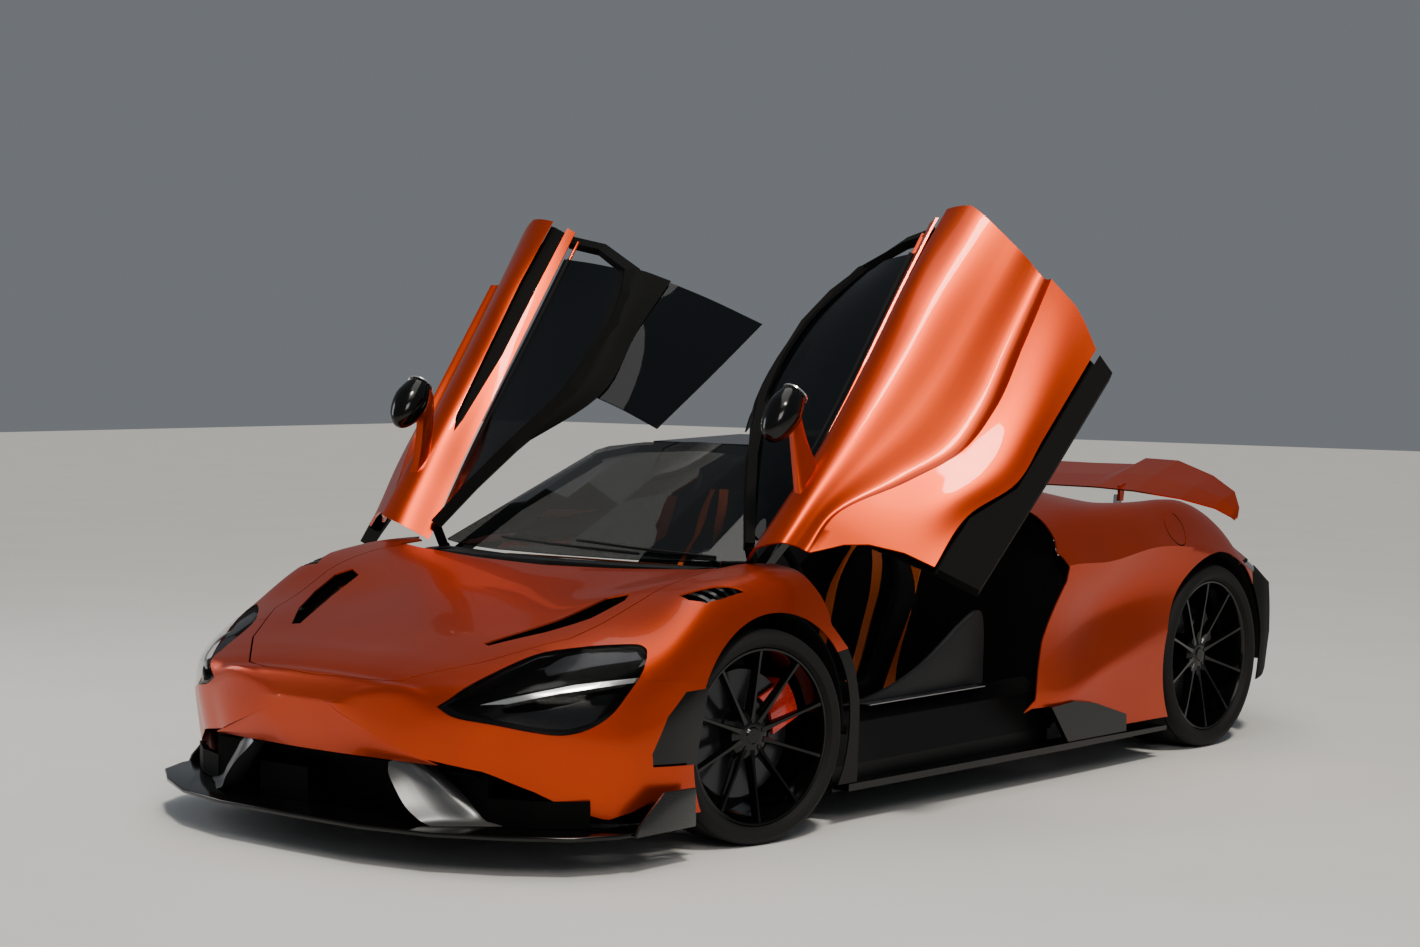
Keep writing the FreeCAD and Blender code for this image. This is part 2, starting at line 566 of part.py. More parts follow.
knuckle = Part.makeCylinder(KNUCKLE_RADIUS, KNUCKLE_LENGTH, on_hinge(KNUCKLE_FROM), HINGE_LINE)
door_bore = Part.makeCylinder(PIN_RADIUS + RUNNING_GAP, KNUCKLE_LENGTH + 40, on_hinge(KNUCKLE_FROM - 20), HINGE_LINE)
door_pin = Part.makeCylinder(PIN_RADIUS, KNUCKLE_FROM + KNUCKLE_LENGTH - PIN_FROM, on_hinge(PIN_FROM), HINGE_LINE)
door_arm = bar([on_hinge(PIN_FROM + 20), point(752, 262, 838)], 26, 22)
door_frame = joined([door_frame, door_pin, door_arm])

# The cabin tub, with sills, hinge posts and bulkhead
tub_floor = box(-SILL_INNER_X, SILL_INNER_X, 190, BULKHEAD_STATION, UNDERSIDE_Z, FLOOR_Z)
SILL_PROFILE = ((600, UNDERSIDE_Z), (TUB_SIDE_X, UNDERSIDE_Z), (TUB_SIDE_X, 175), (840, 300), (770, SILL_TOP_Z),
                (640, SILL_TOP_Z - 30), (600, 200))
sill = front_prism(SILL_PROFILE, 400, BULKHEAD_STATION)
POST_TOP_Z = 762
POST_PROFILE = ((200, UNDERSIDE_Z), (430, UNDERSIDE_Z), (430, 330), (345, 560), (250, POST_TOP_Z), (150, POST_TOP_Z),
                (150, 560))
hinge_post = side_prism(POST_PROFILE, 640, 812).cut(front_arch)
footwell_wall = box(-700, 700, 120, 150, UNDERSIDE_Z, POST_TOP_Z)
bulkhead = front_prism([(-700, UNDERSIDE_Z), (700, UNDERSIDE_Z), (700, 860), (380, 1030), (-380, 1030), (-700, 860)],
                       BULKHEAD_STATION, BULKHEAD_STATION + BULKHEAD_THICKNESS)
FRAME_X = 380
TRAY_TOP_Z = 180
nose_beam = box(300, FRAME_X, -800, 150, 160, 480)
tail_beam = box(310, FRAME_X, 2380, 3000, 160, 500)
cross_beam = box(-470, 470, -830, -780, 160, 360)
bumper_horn = box(300, FRAME_X, -990, -790, 440, 470).common(front_hollow)
fender_bracket = box(780, 1000, 380, 418, 290, 315).common(front_hollow)
SHUT_FACE = ((690, UNDERSIDE_Z), (866, UNDERSIDE_Z), (866, 175), (940, 250), (940, 700), (880, 860), (735, 940), (690, 940))
shut_face = front_prism(SHUT_FACE, 1642, 1664).common(rear_hollow)
tail_horn = box(310, FRAME_X, 2990, 3500, 460, 500).common(rear_hollow)
brackets = joined([nose_beam, bumper_horn, fender_bracket, shut_face, tail_beam, tail_horn, lid_bracket])
tub_front = box(-700, 700, 120, 400, UNDERSIDE_Z, FLOOR_Z)
rear_tray = box(-FRAME_X, FRAME_X, BULKHEAD_STATION, 3000, 140, TRAY_TOP_Z)
side_parts = [joined([sill, hinge_post]), brackets]
tub = joined([tub_floor, tub_front, footwell_wall, bulkhead, cross_beam, rear_tray] + side_parts
             + [mirrored(part) for part in side_parts])
tub = tub.cut(front_arch).cut(mirrored(front_arch))
tub = joined([tub, knuckle, mirrored(knuckle)])
tub = tub.cut(door_bore).cut(mirrored(door_bore))

SCUTTLE_PLAN = ((0, 5), (300, 25), (520, 62), (640, 90), (664, 140), (664, 218), (520, 185), (300, 125), (0, 100))
scuttle_outline = list(SCUTTLE_PLAN) + [(-x, s) for x, s in reversed(SCUTTLE_PLAN) if x]
scuttle = plan_prism(scuttle_outline, POST_TOP_Z + SEAT_GAP, 800).cut(lid_room).cut(mirrored(lid_room))

HEADER_LINE = ((-505, 820, 1092), (-300, 812, 1130), (0, 806, 1146), (300, 812, 1130), (505, 820, 1092))
header = bar([point(*p) for p in HEADER_LINE], 70, 26)
PILLAR_LINE = ((664, 222, 750), (622, 520, 925), (505, 816, 1090))
pillar_left = bar([point(*p) for p in PILLAR_LINE], 40, 32)
spine = loft([
    [point(238, 806, 1160), point(-238, 806, 1160), point(-238, 806, 1136), point(238, 806, 1136)],
    [point(142, 1160, 1180), point(-142, 1160, 1180), point(-142, 1160, 1150), point(142, 1160, 1150)],
    [point(54, 1490, 1168), point(-54, 1490, 1168), point(-54, 1490, 1130), point(54, 1490, 1130)],
])
HOOP_LINE = ((-700, 1610, 900), (-640, 1580, 1010), (-400, 1530, 1110), (0, 1510, 1150), (400, 1530, 1110),
             (640, 1580, 1010), (700, 1610, 900))
hoop = bar([point(*p) for p in HOOP_LINE], 50, 36)
shut_frame = rail_bar(ROOF_GAP)
grown_stations = ((ROOF_INNER[0][1] - ROOF_GAP, ROOF_OUTER[0][1] - ROOF_GAP), (ROOF_INNER[1][1], ROOF_OUTER[1][1]),
                  (ROOF_INNER[2][1] + ROOF_GAP, ROOF_OUTER[2][1] + ROOF_GAP))
roof_low = [point(p[0] - ROOF_GAP, pair[0], p[2] + ROOF_GAP) for p, pair in zip(ROOF_INNER, grown_stations)]
roof_high = [point(p[0], pair[1], p[2] + ROOF_GAP) for p, pair in zip(ROOF_OUTER, grown_stations)]
shut_roof = pane(roof_low, roof_high, FreeCAD.Vector(0, 0, -GLASS - 2 * ROOF_GAP))
door_room = joined([shut_frame, shut_roof])
roof_frame = joined([header, pillar_left, mirrored(pillar_left), spine, hoop]).cut(scuttle)
roof_frame = roof_frame.cut(door_room).cut(mirrored(door_room))
REAR_DOOR_X = 765
door_tail_room = side_prism(shifted(DOOR_REAR_EDGE, DOOR_GAP) + [(900, 146), (900, 1000)], REAR_DOOR_X, 1100)
quarter_left = quarter_left.cut(door_tail_room).cut(door_room).cut(roof_frame)
engine_cover = engine_cover.cut(door_room).cut(mirrored(door_room)).cut(roof_frame)

SCREEN_BASE = ((-666, 224, 818), (-520, 160, 813), (-300, 90, 813), (0, 60, 814), (300, 90, 813), (520, 160, 813),
               (666, 224, 818))
SCREEN_TOP = ((-500, 800, 1114), (-430, 788, 1130), (-250, 776, 1150), (0, 772, 1158), (250, 776, 1150),
              (430, 788, 1130), (500, 800, 1114))
windscreen = pane([point(*p) for p in SCREEN_BASE], [point(*p) for p in SCREEN_TOP], FreeCAD.Vector(0, -3, GLASS))

# Splitter with its fins
SPLITTER_PLAN = ((0, -1085), (300, -1080), (540, -1030), (740, -930), (890, -820), (955, -700), (975, -600), (980, -410),
                 (900, -410), (860, -640), (700, -730), (0, -780))
splitter_outline = list(SPLITTER_PLAN) + [(-x, s) for x, s in reversed(SPLITTER_PLAN) if x]
SPLITTER_TOP = SPLITTER_Z + SPLITTER_THICKNESS
splitter = plan_prism(splitter_outline, SPLITTER_Z, SPLITTER_TOP)
ENDPLATE = ((-655, SPLITTER_Z), (-395, SPLITTER_Z), (-395, 224), (-533, 228), (-640, 140))
endplate = side_prism(ENDPLATE, 972, 982)
FIN_SECTIONS = (
    ((300, -955, 300), (378, -928, 306), (378, -870, 306), (300, -880, 300)),
    ((331, -985, 241), (441, -900, 243), (430, -850, 243), (330, -900, 241)),
    ((392, -980, 169), (512, -875, 172), (500, -820, 172), (392, -900, 169)),
    ((428, -962, SPLITTER_Z + 10), (548, -850, SPLITTER_Z + 10), (535, -800, SPLITTER_Z + 10), (430, -880, SPLITTER_Z + 10)),
)
fin = loft([[point(*corner) for corner in section] for section in FIN_SECTIONS])
fin = fin.cut(front_outer).cut(box(200, 700, -852, -700, SPLITTER_TOP, 400))
splitter = joined([splitter, endplate, mirrored(endplate), fin, mirrored(fin)])

# The black insert of the mouth, with its plate plinth, and the duct walls at the sides
GRILLE_TOP = 330
WALL_PROFILE = ((-590, SPLITTER_TOP), (590, SPLITTER_TOP), (590, 290), (400, GRILLE_TOP), (0, GRILLE_TOP),
                (-400, GRILLE_TOP), (-590, 290))
insert_wall = front_prism(WALL_PROFILE, -850, -830 - SEAT_GAP)
PLINTH_FACE = -930
plinth = box(-297, -83, PLINTH_FACE, -845, SPLITTER_TOP, 229)
TOW_EYE_X = 230
TOW_EYE_Z = 205
TOW_FACE = -885
TOW_THREAD_RADIUS = 8.0
TOW_THREAD_LENGTH = 40.0
TOW_BOSS_RADIUS = 22.0
tow_centre = point(TOW_EYE_X, TOW_FACE, TOW_EYE_Z)
tow_boss = Part.makeCylinder(TOW_BOSS_RADIUS, along(-845) - along(TOW_FACE), tow_centre, FreeCAD.Vector(0, 1, 0))
tow_bore = Part.makeCylinder(TOW_THREAD_RADIUS, TOW_THREAD_LENGTH, tow_centre, FreeCAD.Vector(0, 1, 0))
DUCT_LINE = ((580, -842, 166), (720, -790, 166), (846, -700, 168))
duct_wall = bar([point(*p) for p in DUCT_LINE], 20, 78)
blades = [box(-560, 560, -868, -845, z, z + 8) for z in (262, 288)]
intake_insert = joined([insert_wall, plinth, tow_boss, duct_wall, mirrored(duct_wall)] + blades)
intake_insert = intake_insert.cut(tow_bore).cut(splitter).cut(front_shell).cut(tub)

WELL_SIDE = ((-690, 240), (60, 240), (60, 690), (-690, 520))
luggage_well = side_prism(WELL_SIDE, -300 + SEAT_GAP, 300 - SEAT_GAP).cut(box(-285, 285, -675, 45, 255, 720))

engine = box(-300, 300, 1760, 2560, TRAY_TOP_Z + SEAT_GAP, 700)
TAIL_STATION_END = DRAWN_WHEELBASE + 845
DIFFUSER_SIDE = ((3000 + SEAT_GAP, 140), (3000 + SEAT_GAP, 160), (TAIL_STATION_END, 262), (TAIL_STATION_END, 240))
diffuser_floor = side_prism(DIFFUSER_SIDE, -560, 560)
STRAKE_SIDE = ((3020, 130), (3020, 164), (TAIL_STATION_END - 4, 262), (TAIL_STATION_END - 30, 150))
strakes = [side_prism(STRAKE_SIDE, x - 5, x + 5) for x in (-480, -300, -120, 120, 300, 480)]
rear_diffuser = joined([diffuser_floor] + strakes)
PIPE_X = 90
PIPE_Z = 585
PIPE_RADIUS = 48.0
PIPE_WALL = 4.0
PIPE_FROM = 3120
PIPE_TO = 3490
pipe_length = along(PIPE_TO) - along(PIPE_FROM)
MUFFLER_RADIUS = 62.0
HORN_TOP_Z = 500
muffler = cylinder_x(across(-345), across(345), along(3090), HORN_TOP_Z + SEAT_GAP + MUFFLER_RADIUS, MUFFLER_RADIUS)
pipe = Part.makeCylinder(PIPE_RADIUS, pipe_length, point(PIPE_X, PIPE_FROM, PIPE_Z), FreeCAD.Vector(0, 1, 0))
pipe_hole = Part.makeCylinder(PIPE_RADIUS - PIPE_WALL, pipe_length, point(PIPE_X, PIPE_FROM + 80, PIPE_Z),
                              FreeCAD.Vector(0, 1, 0))
pipe = pipe.cut(pipe_hole)
exhaust = joined([muffler, pipe, mirrored(pipe)])
WING_COLUMNS = ("x", "lead_station", "lead_z", "trail_station", "trail_z")
WING_TABLE = (
    (0, 2985, 944, 3350, 1020),
    (190, 2985, 943, 3350, 1022),
    (240, 2985, 942, 3350, 1048),
    (400, 2988, 934, 3338, 1044),
    (600, 3000, 912, 3268, 992),
    (740, 3025, 880, 3190, 936),
    (800, 3048, 848, 3118, 880),
    (812, 3058, 836, 3085, 846),
)
WING_THICKNESS = 26.0
WING_EDGE = 6.0


def wing_section(row):
    v = dict(zip(WING_COLUMNS, row))
    run = v["trail_station"] - v["lead_station"]
    belly = min(WING_THICKNESS, run / 6)
    rise = v["trail_z"] - v["lead_z"]
    return [
        point(v["x"], v["lead_station"], v["lead_z"]),
        point(v["x"], v["lead_station"] + run * 0.45, v["lead_z"] + rise * 0.40 + belly * 0.35),
        point(v["x"], v["trail_station"], v["trail_z"]),
        point(v["x"], v["trail_station"] + 1, v["trail_z"] - WING_EDGE),
        point(v["x"], v["lead_station"] + run * 0.40, v["lead_z"] + rise * 0.32 - belly * 0.75),
        point(v["x"], v["lead_station"] + 3, v["lead_z"] - WING_EDGE),
    ]


wing = both_sides(loft([wing_section(row) for row in WING_TABLE]))
WING_PIN_STATION = 3015
WING_PIN_Z = 900
WING_LUG = ((3003, 888), (3027, 888), (3040, 960), (2998, 950))
wing_lug = side_prism(WING_LUG, 318, 330)
wing_pin = cylinder_x(across(296), across(330), along(WING_PIN_STATION), WING_PIN_Z, PIN_RADIUS)
wing_fork = joined([wing_lug, wing_pin])
wing = joined([wing, wing_fork, mirrored(wing_fork)])
SKIRT_TOP = 130
SKIRT_X = TUB_SIDE_X + SEAT_GAP
skirt = loft([
    [point(SKIRT_X, 405, 108), point(930, 405, 108), point(930, 405, SKIRT_TOP), point(SKIRT_X, 405, SKIRT_TOP)],
    [point(SKIRT_X, 900, 108), point(948, 900, 108), point(948, 900, SKIRT_TOP), point(SKIRT_X, 900, SKIRT_TOP)],
    [point(SKIRT_X, 1640, 108), point(968, 1640, 108), point(968, 1640, SKIRT_TOP), point(SKIRT_X, 1640, SKIRT_TOP)],
    [point(SKIRT_X, 2285, 108), point(972, 2285, 108), point(972, 2285, SKIRT_TOP - 6), point(SKIRT_X, 2285, SKIRT_TOP - 6)],
])
WINGLET = ((1529, 262), (1675, 270), (1815, 250), (2025, 190), (2025, 128), (1641, 128))
WINGLET_MIDDLE = (1760, 190)


def grown(outline, middle, scale):
    return [(middle[0] + (s - middle[0]) * scale, middle[1] + (z - middle[1]) * scale) for s, z in outline]


winglet = side_prism(WINGLET, 940, 958)
quarter_left = quarter_left.cut(side_prism(grown(WINGLET, WINGLET_MIDDLE, 1.01), 930, 1000))
side_skirts = both_sides(joined([skirt, winglet]))


# Bucket seats, a trough section that follows the cushion and the backrest from the front up to the head
SEAT_COLUMNS = ("station", "z", "half_width", "bolster", "thickness")
SEAT_TABLE = (
    (570, 352, 205, 30, 60),
    (640, 340, 225, 62, 70),
    (950, 292, 225, 78, 60),
    (1050, 320, 225, 84, 60),
    (1110, 420, 235, 88, 55),
    (1200, 660, 250, 80, 50),
    (1262, 800, 160, 40, 50),
    (1300, 900, 140, 30, 48),
    (1325, 962, 110, 14, 40),
)
BOLSTER_WIDTH = 52.0


def seat(x):
    rows = [dict(zip(SEAT_COLUMNS, row)) for row in SEAT_TABLE]
    sections = []
    for i, v in enumerate(rows):
        before = rows[max(i - 1, 0)]
        after = rows[min(i + 1, len(rows) - 1)]
        run = FreeCAD.Vector(0, after["station"] - before["station"], after["z"] - before["z"]).normalize()
        up = FreeCAD.Vector(0, -run.z, run.y)
        half, tall, deep = v["half_width"], v["bolster"], v["thickness"]
        inner = half - BOLSTER_WIDTH
        trough = ((-half, -deep), (half, -deep), (half, tall), (inner, tall), (inner - 24, 0), (24 - inner, 0),
                  (-inner, tall), (-half, tall))
        sections.append([point(x + across_seat, v["station"], v["z"]) + up * height for across_seat, height in trough])
    shell = loft(sections)
    pedestal = box(x - 170, x + 170, 640, 1010, FLOOR_Z + SEAT_GAP, 300)
    return joined([shell, pedestal])


DASH_PROFILE = ((150 + SEAT_GAP, 600), (150 + SEAT_GAP, 740), (222, 762), (440, 762), (500, 700), (470, 640),
                (360, 575))
dashboard = side_prism(DASH_PROFILE, -640 + SEAT_GAP, 640 - SEAT_GAP)
console = side_prism(((400, FLOOR_Z + SEAT_GAP), (360, 640), (480, 650), (700, 400), (1180, 380), (1180, FLOOR_Z + SEAT_GAP)),
                     -95, 95)
dashboard = joined([dashboard, console]).cut(front_arch).cut(mirrored(front_arch))

# The steering wheel is drawn flat and then tilted towards the driver
STEERING_RADIUS = 178.0
STEERING_GRIP = 15.0
STEERING_TILT = -67.0
ring = Part.makeTorus(STEERING_RADIUS, STEERING_GRIP)
boss = Part.makeCylinder(62, 40, FreeCAD.Vector(0, 0, -30))
column = Part.makeCylinder(38, 240, FreeCAD.Vector(0, 0, -250))
cross_spoke = Part.makeBox(2 * STEERING_RADIUS, 34, 12, FreeCAD.Vector(-STEERING_RADIUS, -12, -10))
low_spoke = Part.makeBox(30, STEERING_RADIUS, 12, FreeCAD.Vector(-15, -STEERING_RADIUS, -10))
steering_wheel = joined([ring, boss, column, cross_spoke, low_spoke])
steering_wheel = placed(steering_wheel, STEERING_TILT, FreeCAD.Vector(0, 0, 0), FreeCAD.Vector(1, 0, 0))
steering_wheel.translate(point(360, 655, 730))
steering_wheel = steering_wheel.cut(dashboard)


def tyre(radius, rim_radius, width):
    half = width / 2
    profile = [(rim_radius, -half + 22), (rim_radius, half - 22), (rim_radius + 14, half - 6), ((radius + rim_radius) / 2, half),
               (radius - 14, half - 12), (radius, half - 34), (radius, -half + 34), (radius - 14, -half + 12),
               ((radius + rim_radius) / 2, -half), (rim_radius + 14, -half + 6)]
    points = [FreeCAD.Vector(x, 0, r) for r, x in profile]
    return Part.Face(Part.makePolygon(points + points[:1])).revolve(FreeCAD.Vector(0, 0, 0), FreeCAD.Vector(1, 0, 0), 360)


def rim(radius, width):
    # The outer face points to +X.
    half = width / 2
    barrel_out = cylinder_x(-half + 22, half - 22, 0, 0, radius - SEAT_GAP)
    barrel_in = cylinder_x(-half, half, 0, 0, radius - 16)
    barrel = barrel_out.cut(barrel_in)
    hub = cylinder_x(0, half - 60, 0, 0, HUB_RADIUS)
    pieces = [barrel, hub]
    for i in range(SPOKE_COUNT):
        spoke = loft([
            [FreeCAD.Vector(half - 62, -SPOKE_WIDTH, 40), FreeCAD.Vector(half - 62, SPOKE_WIDTH, 40),
             FreeCAD.Vector(half - 110, SPOKE_WIDTH, 40), FreeCAD.Vector(half - 110, -SPOKE_WIDTH, 40)],
            [FreeCAD.Vector(half - 26, -SPOKE_WIDTH / 2, radius - 10), FreeCAD.Vector(half - 26, SPOKE_WIDTH / 2, radius - 10),
             FreeCAD.Vector(half - 60, SPOKE_WIDTH / 2, radius - 10), FreeCAD.Vector(half - 60, -SPOKE_WIDTH / 2, radius - 10)],
        ])
        pieces.append(placed(spoke, i * 360 / SPOKE_COUNT, FreeCAD.Vector(0, 0, 0), FreeCAD.Vector(1, 0, 0)))
    disc = cylinder_x(-40, -40 + DISC_THICKNESS, 0, 0, DISC_RADIUS)
    bell = cylinder_x(-10, 2, 0, 0, HUB_RADIUS)
    pieces += [disc, bell]
    bore = cylinder_x(-60, 20, 0, 0, SPINDLE_RADIUS + RUNNING_GAP)
    return joined(pieces).cut(bore)


def carrier():
    # The upright, its spindle and the brake calliper, with the wheel's middle at the origin.
    spindle = cylinder_x(-90, 18, 0, 0, SPINDLE_RADIUS)
    upright = Part.makeBox(34, 80, 2 * (EYE_REACH - EYE_HEIGHT / 2 - 3),
                           FreeCAD.Vector(-KINGPIN_INSET - 20, -40, -(EYE_REACH - EYE_HEIGHT / 2 - 3)))
    kingpin_length = 2 * EYE_REACH + EYE_HEIGHT + 6
    kingpin = Part.makeCylinder(KINGPIN_RADIUS, kingpin_length, FreeCAD.Vector(-KINGPIN_INSET, 0, -kingpin_length / 2))
    ring = cylinder_x(-78, 12, 0, 0, 232).cut(cylinder_x(-80, 14, 0, 0, 125))
    wedge = Part.makeBox(100, 130, 260, FreeCAD.Vector(-85, -65, 60))
    calliper = ring.common(wedge)
    calliper = calliper.cut(cylinder_x(-46, 0, 0, 0, DISC_RADIUS + 8))
    foot = Part.makeBox(32, 44, 160, FreeCAD.Vector(-78, -22, 0))
    calliper = placed(joined([calliper, foot]), -65, FreeCAD.Vector(0, 0, 0), FreeCAD.Vector(1, 0, 0))
    return joined([spindle, upright, kingpin, calliper])


def wishbones(track, y, z):
    # Upper and lower arms of the left side, each with an eye round the kingpin.
    pin_x = track / 2 - KINGPIN_INSET
    pieces = []
    for level in (-EYE_REACH, EYE_REACH):
        eye = Part.makeCylinder(EYE_RADIUS, EYE_HEIGHT, FreeCAD.Vector(pin_x, y, z + level - EYE_HEIGHT / 2))
        legs = [eye]
        for reach in (-ARM_SPREAD, ARM_SPREAD):
            start = FreeCAD.Vector(pin_x - 12, y, z + level)
            end = FreeCAD.Vector(across(FRAME_X) + SEAT_GAP, y + reach, z + level * 0.9)
            legs.append(bar([start, end], 26, 18))
        hole = Part.makeCylinder(KINGPIN_RADIUS + RUNNING_GAP, 2 * EYE_HEIGHT,
                                 FreeCAD.Vector(pin_x, y, z + level - EYE_HEIGHT))
        pieces.append(joined(legs).cut(hole))
    return pieces


def set_wheel(shape, side, track, y, z, steer):
    # Turns a left-hand wheel piece about its kingpin and sets it on its side of the car.
    moved = shape if side > 0 else mirrored(shape)
    pin = FreeCAD.Vector(-side * KINGPIN_INSET, 0, 0)
    moved = placed(moved, steer, pin, FreeCAD.Vector(0, 0, 1))
    moved.translate(FreeCAD.Vector(side * track / 2, y, z))
    return moved


arms = wishbones(FRONT_TRACK, FRONT_AXLE_Y, FRONT_TYRE_RADIUS) + wishbones(REAR_TRACK, REAR_AXLE_Y, REAR_TYRE_RADIUS)
suspension_arms = Part.makeCompound(arms + [mirrored(arm) for arm in arms])
WING_STAY = ((2985, 780), (3060, 780), (3030, 913), (3001, 913))
wing_stay = side_prism(WING_STAY, 300, 316)
stay_bore = cylinder_x(across(290), across(330), along(WING_PIN_STATION), WING_PIN_Z, PIN_RADIUS + RUNNING_GAP)
wing_stay = wing_stay.cut(stay_bore).cut(rear_outer)
wing_stays = Part.makeCompound([wing_stay, mirrored(wing_stay)])

os.makedirs("parts", exist_ok=True)
save("tub", tub)
save("roof_frame", roof_frame.cut(tub))
save("windscreen", windscreen.cut(roof_frame))
save("scuttle", scuttle.cut(roof_frame).cut(tub))
save("front_bumper", front_bumper)
save("splitter", splitter)
save("intake_insert", intake_insert)
save("headlamps", Part.makeCompound([headlamp_left, mirrored(headlamp_left)]))
save("fenders", Part.makeCompound([fender_left, mirrored(fender_left)]))
save("bonnet", bonnet)
save("luggage_well", luggage_well)
save("engine", engine)
save("engine_cover", engine_cover)
save("quarters", Part.makeCompound([quarter_left.cut(flap_groove), mirrored(quarter_left)]))
save("rear_bumper", rear_bumper)
save("diffuser", rear_diffuser.cut(rear_bumper).cut(tub))
save("exhaust", exhaust.cut(rear_bumper))
save("tail_lamps", Part.makeCompound([tail_lamp, mirrored(tail_lamp)]))
save("wing", wing)
save("wing_stays", wing_stays)
save("side_skirts", side_skirts.cut(tub).cut(quarter_left).cut(mirrored(quarter_left)))
save("seats", Part.makeCompound([seat(360), seat(-360)]))
save("dashboard", dashboard.cut(roof_frame))
save("steering_wheel", steering_wheel)
save("suspension_arms", suspension_arms.cut(tub))
for side, turn in (("left", lambda s: s), ("right", mirrored)):
    save("door_skin_" + side, turn(swung(door_skin)))
    save("door_frame_" + side, turn(swung(door_frame)))
    save("door_glass_" + side, turn(swung(door_glass)))
    save("door_mirror_" + side, turn(swung(door_mirror)))
WHEELS = (
    ("front_left", 1, FRONT_TRACK, FRONT_AXLE_Y, FRONT_TYRE_RADIUS, FRONT_RIM_RADIUS, FRONT_TYRE_WIDTH, -STEER_AT_REST),
    ("front_right", -1, FRONT_TRACK, FRONT_AXLE_Y, FRONT_TYRE_RADIUS, FRONT_RIM_RADIUS, FRONT_TYRE_WIDTH, -STEER_AT_REST),
    ("rear_left", 1, REAR_TRACK, REAR_AXLE_Y, REAR_TYRE_RADIUS, REAR_RIM_RADIUS, REAR_TYRE_WIDTH, 0),
    ("rear_right", -1, REAR_TRACK, REAR_AXLE_Y, REAR_TYRE_RADIUS, REAR_RIM_RADIUS, REAR_TYRE_WIDTH, 0),
)
rear_carriers = []
for name, side, track, y, radius, rim_radius, width, steer in WHEELS:
    save("tyre_" + name, set_wheel(tyre(radius, rim_radius, width), side, track, y, radius, steer))
    save("rim_" + name, set_wheel(rim(rim_radius, width), side, track, y, radius, steer))
    upright = set_wheel(carrier(), side, track, y, radius, steer)
    if name.startswith("front"):
        save("carrier_" + name, upright)
    else:
        rear_carriers.append(upright)
save("rear_carriers", Part.makeCompound(rear_carriers))
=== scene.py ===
import math

import bpy
import numpy as np
from mathutils import Matrix, Vector


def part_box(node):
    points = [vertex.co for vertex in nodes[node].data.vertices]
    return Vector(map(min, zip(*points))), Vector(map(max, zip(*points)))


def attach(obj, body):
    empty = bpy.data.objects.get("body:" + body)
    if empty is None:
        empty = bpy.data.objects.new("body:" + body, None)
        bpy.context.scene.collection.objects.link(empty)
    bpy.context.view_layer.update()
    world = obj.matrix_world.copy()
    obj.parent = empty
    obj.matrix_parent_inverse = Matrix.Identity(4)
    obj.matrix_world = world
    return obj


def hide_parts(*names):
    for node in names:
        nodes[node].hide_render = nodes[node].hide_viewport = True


# A low two-seat sports car with upswept doors. Outlines are in millimetres, as (x, station, z),
# and a station is the distance behind the front axle.
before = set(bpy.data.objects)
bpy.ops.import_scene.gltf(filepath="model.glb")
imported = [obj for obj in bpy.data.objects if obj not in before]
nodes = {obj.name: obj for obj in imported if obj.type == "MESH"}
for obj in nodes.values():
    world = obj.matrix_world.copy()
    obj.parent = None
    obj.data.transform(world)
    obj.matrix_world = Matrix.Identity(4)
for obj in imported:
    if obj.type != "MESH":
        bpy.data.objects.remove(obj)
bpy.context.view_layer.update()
MM = 0.001
AXLE_STATION = 1215

# The wheels: places and sizes in millimetres
FRONT_AXLE_Y, REAR_AXLE_Y = -1215, 1455
FRONT_TRACK, REAR_TRACK = 1656, 1589
FRONT_TYRE, REAR_TYRE = 325, 345
FRONT_WIDTH, REAR_WIDTH = 245, 305
FRONT_RIM, REAR_RIM = 271, 284
ARCH_ROOM = 48

# Camera
LENS = 67.27
SENSOR = 36
CAMERA_PLACE = (5.8545, -7.4164, 1.4959)
CAMERA_TURN, CAMERA_DIP, CAMERA_ROLL = 39.78, 2.768, 0.528
camera_data = bpy.data.cameras.new("camera")
camera_data.lens = LENS
camera_data.sensor_width = SENSOR
camera = bpy.data.objects.new("camera", camera_data)
bpy.context.scene.collection.objects.link(camera)
turn, dip, roll = [math.radians(degrees) for degrees in (CAMERA_TURN, CAMERA_DIP, CAMERA_ROLL)]
ahead = Vector((-math.sin(turn) * math.cos(dip), math.cos(turn) * math.cos(dip), -math.sin(dip)))
level = Vector((math.cos(turn), math.sin(turn), 0))
upward = level.cross(ahead)
right = level * math.cos(roll) + upward * math.sin(roll)
top = upward * math.cos(roll) - level * math.sin(roll)
pose = Matrix((right, top, -ahead)).transposed().to_4x4()
pose.translation = Vector(CAMERA_PLACE)
camera.matrix_world = pose
bpy.context.scene.camera = camera


# Shader helper
class Maths:
    """A socket that can be used in ordinary arithmetic."""

    def __init__(self, tree, socket):
        self.tree = tree
        self.socket = socket

    def value(self, operation, other=None, swapped=False):
        node = self.tree.nodes.new("ShaderNodeMath")
        node.operation = operation
        inputs = (0, 1) if not swapped else (1, 0)
        self.tree.links.new(self.socket, node.inputs[inputs[0]])
        if isinstance(other, Maths):
            self.tree.links.new(other.socket, node.inputs[inputs[1]])
        elif other is not None:
            node.inputs[inputs[1]].default_value = other
        return Maths(self.tree, node.outputs[0])

    def __add__(self, other):
        return self.value("ADD", other)

    __radd__ = __add__

    def __mul__(self, other):
        return self.value("MULTIPLY", other)

    __rmul__ = __mul__

    def __sub__(self, other):
        return self.value("SUBTRACT", other)

    def __rsub__(self, other):
        return self.value("SUBTRACT", other, swapped=True)


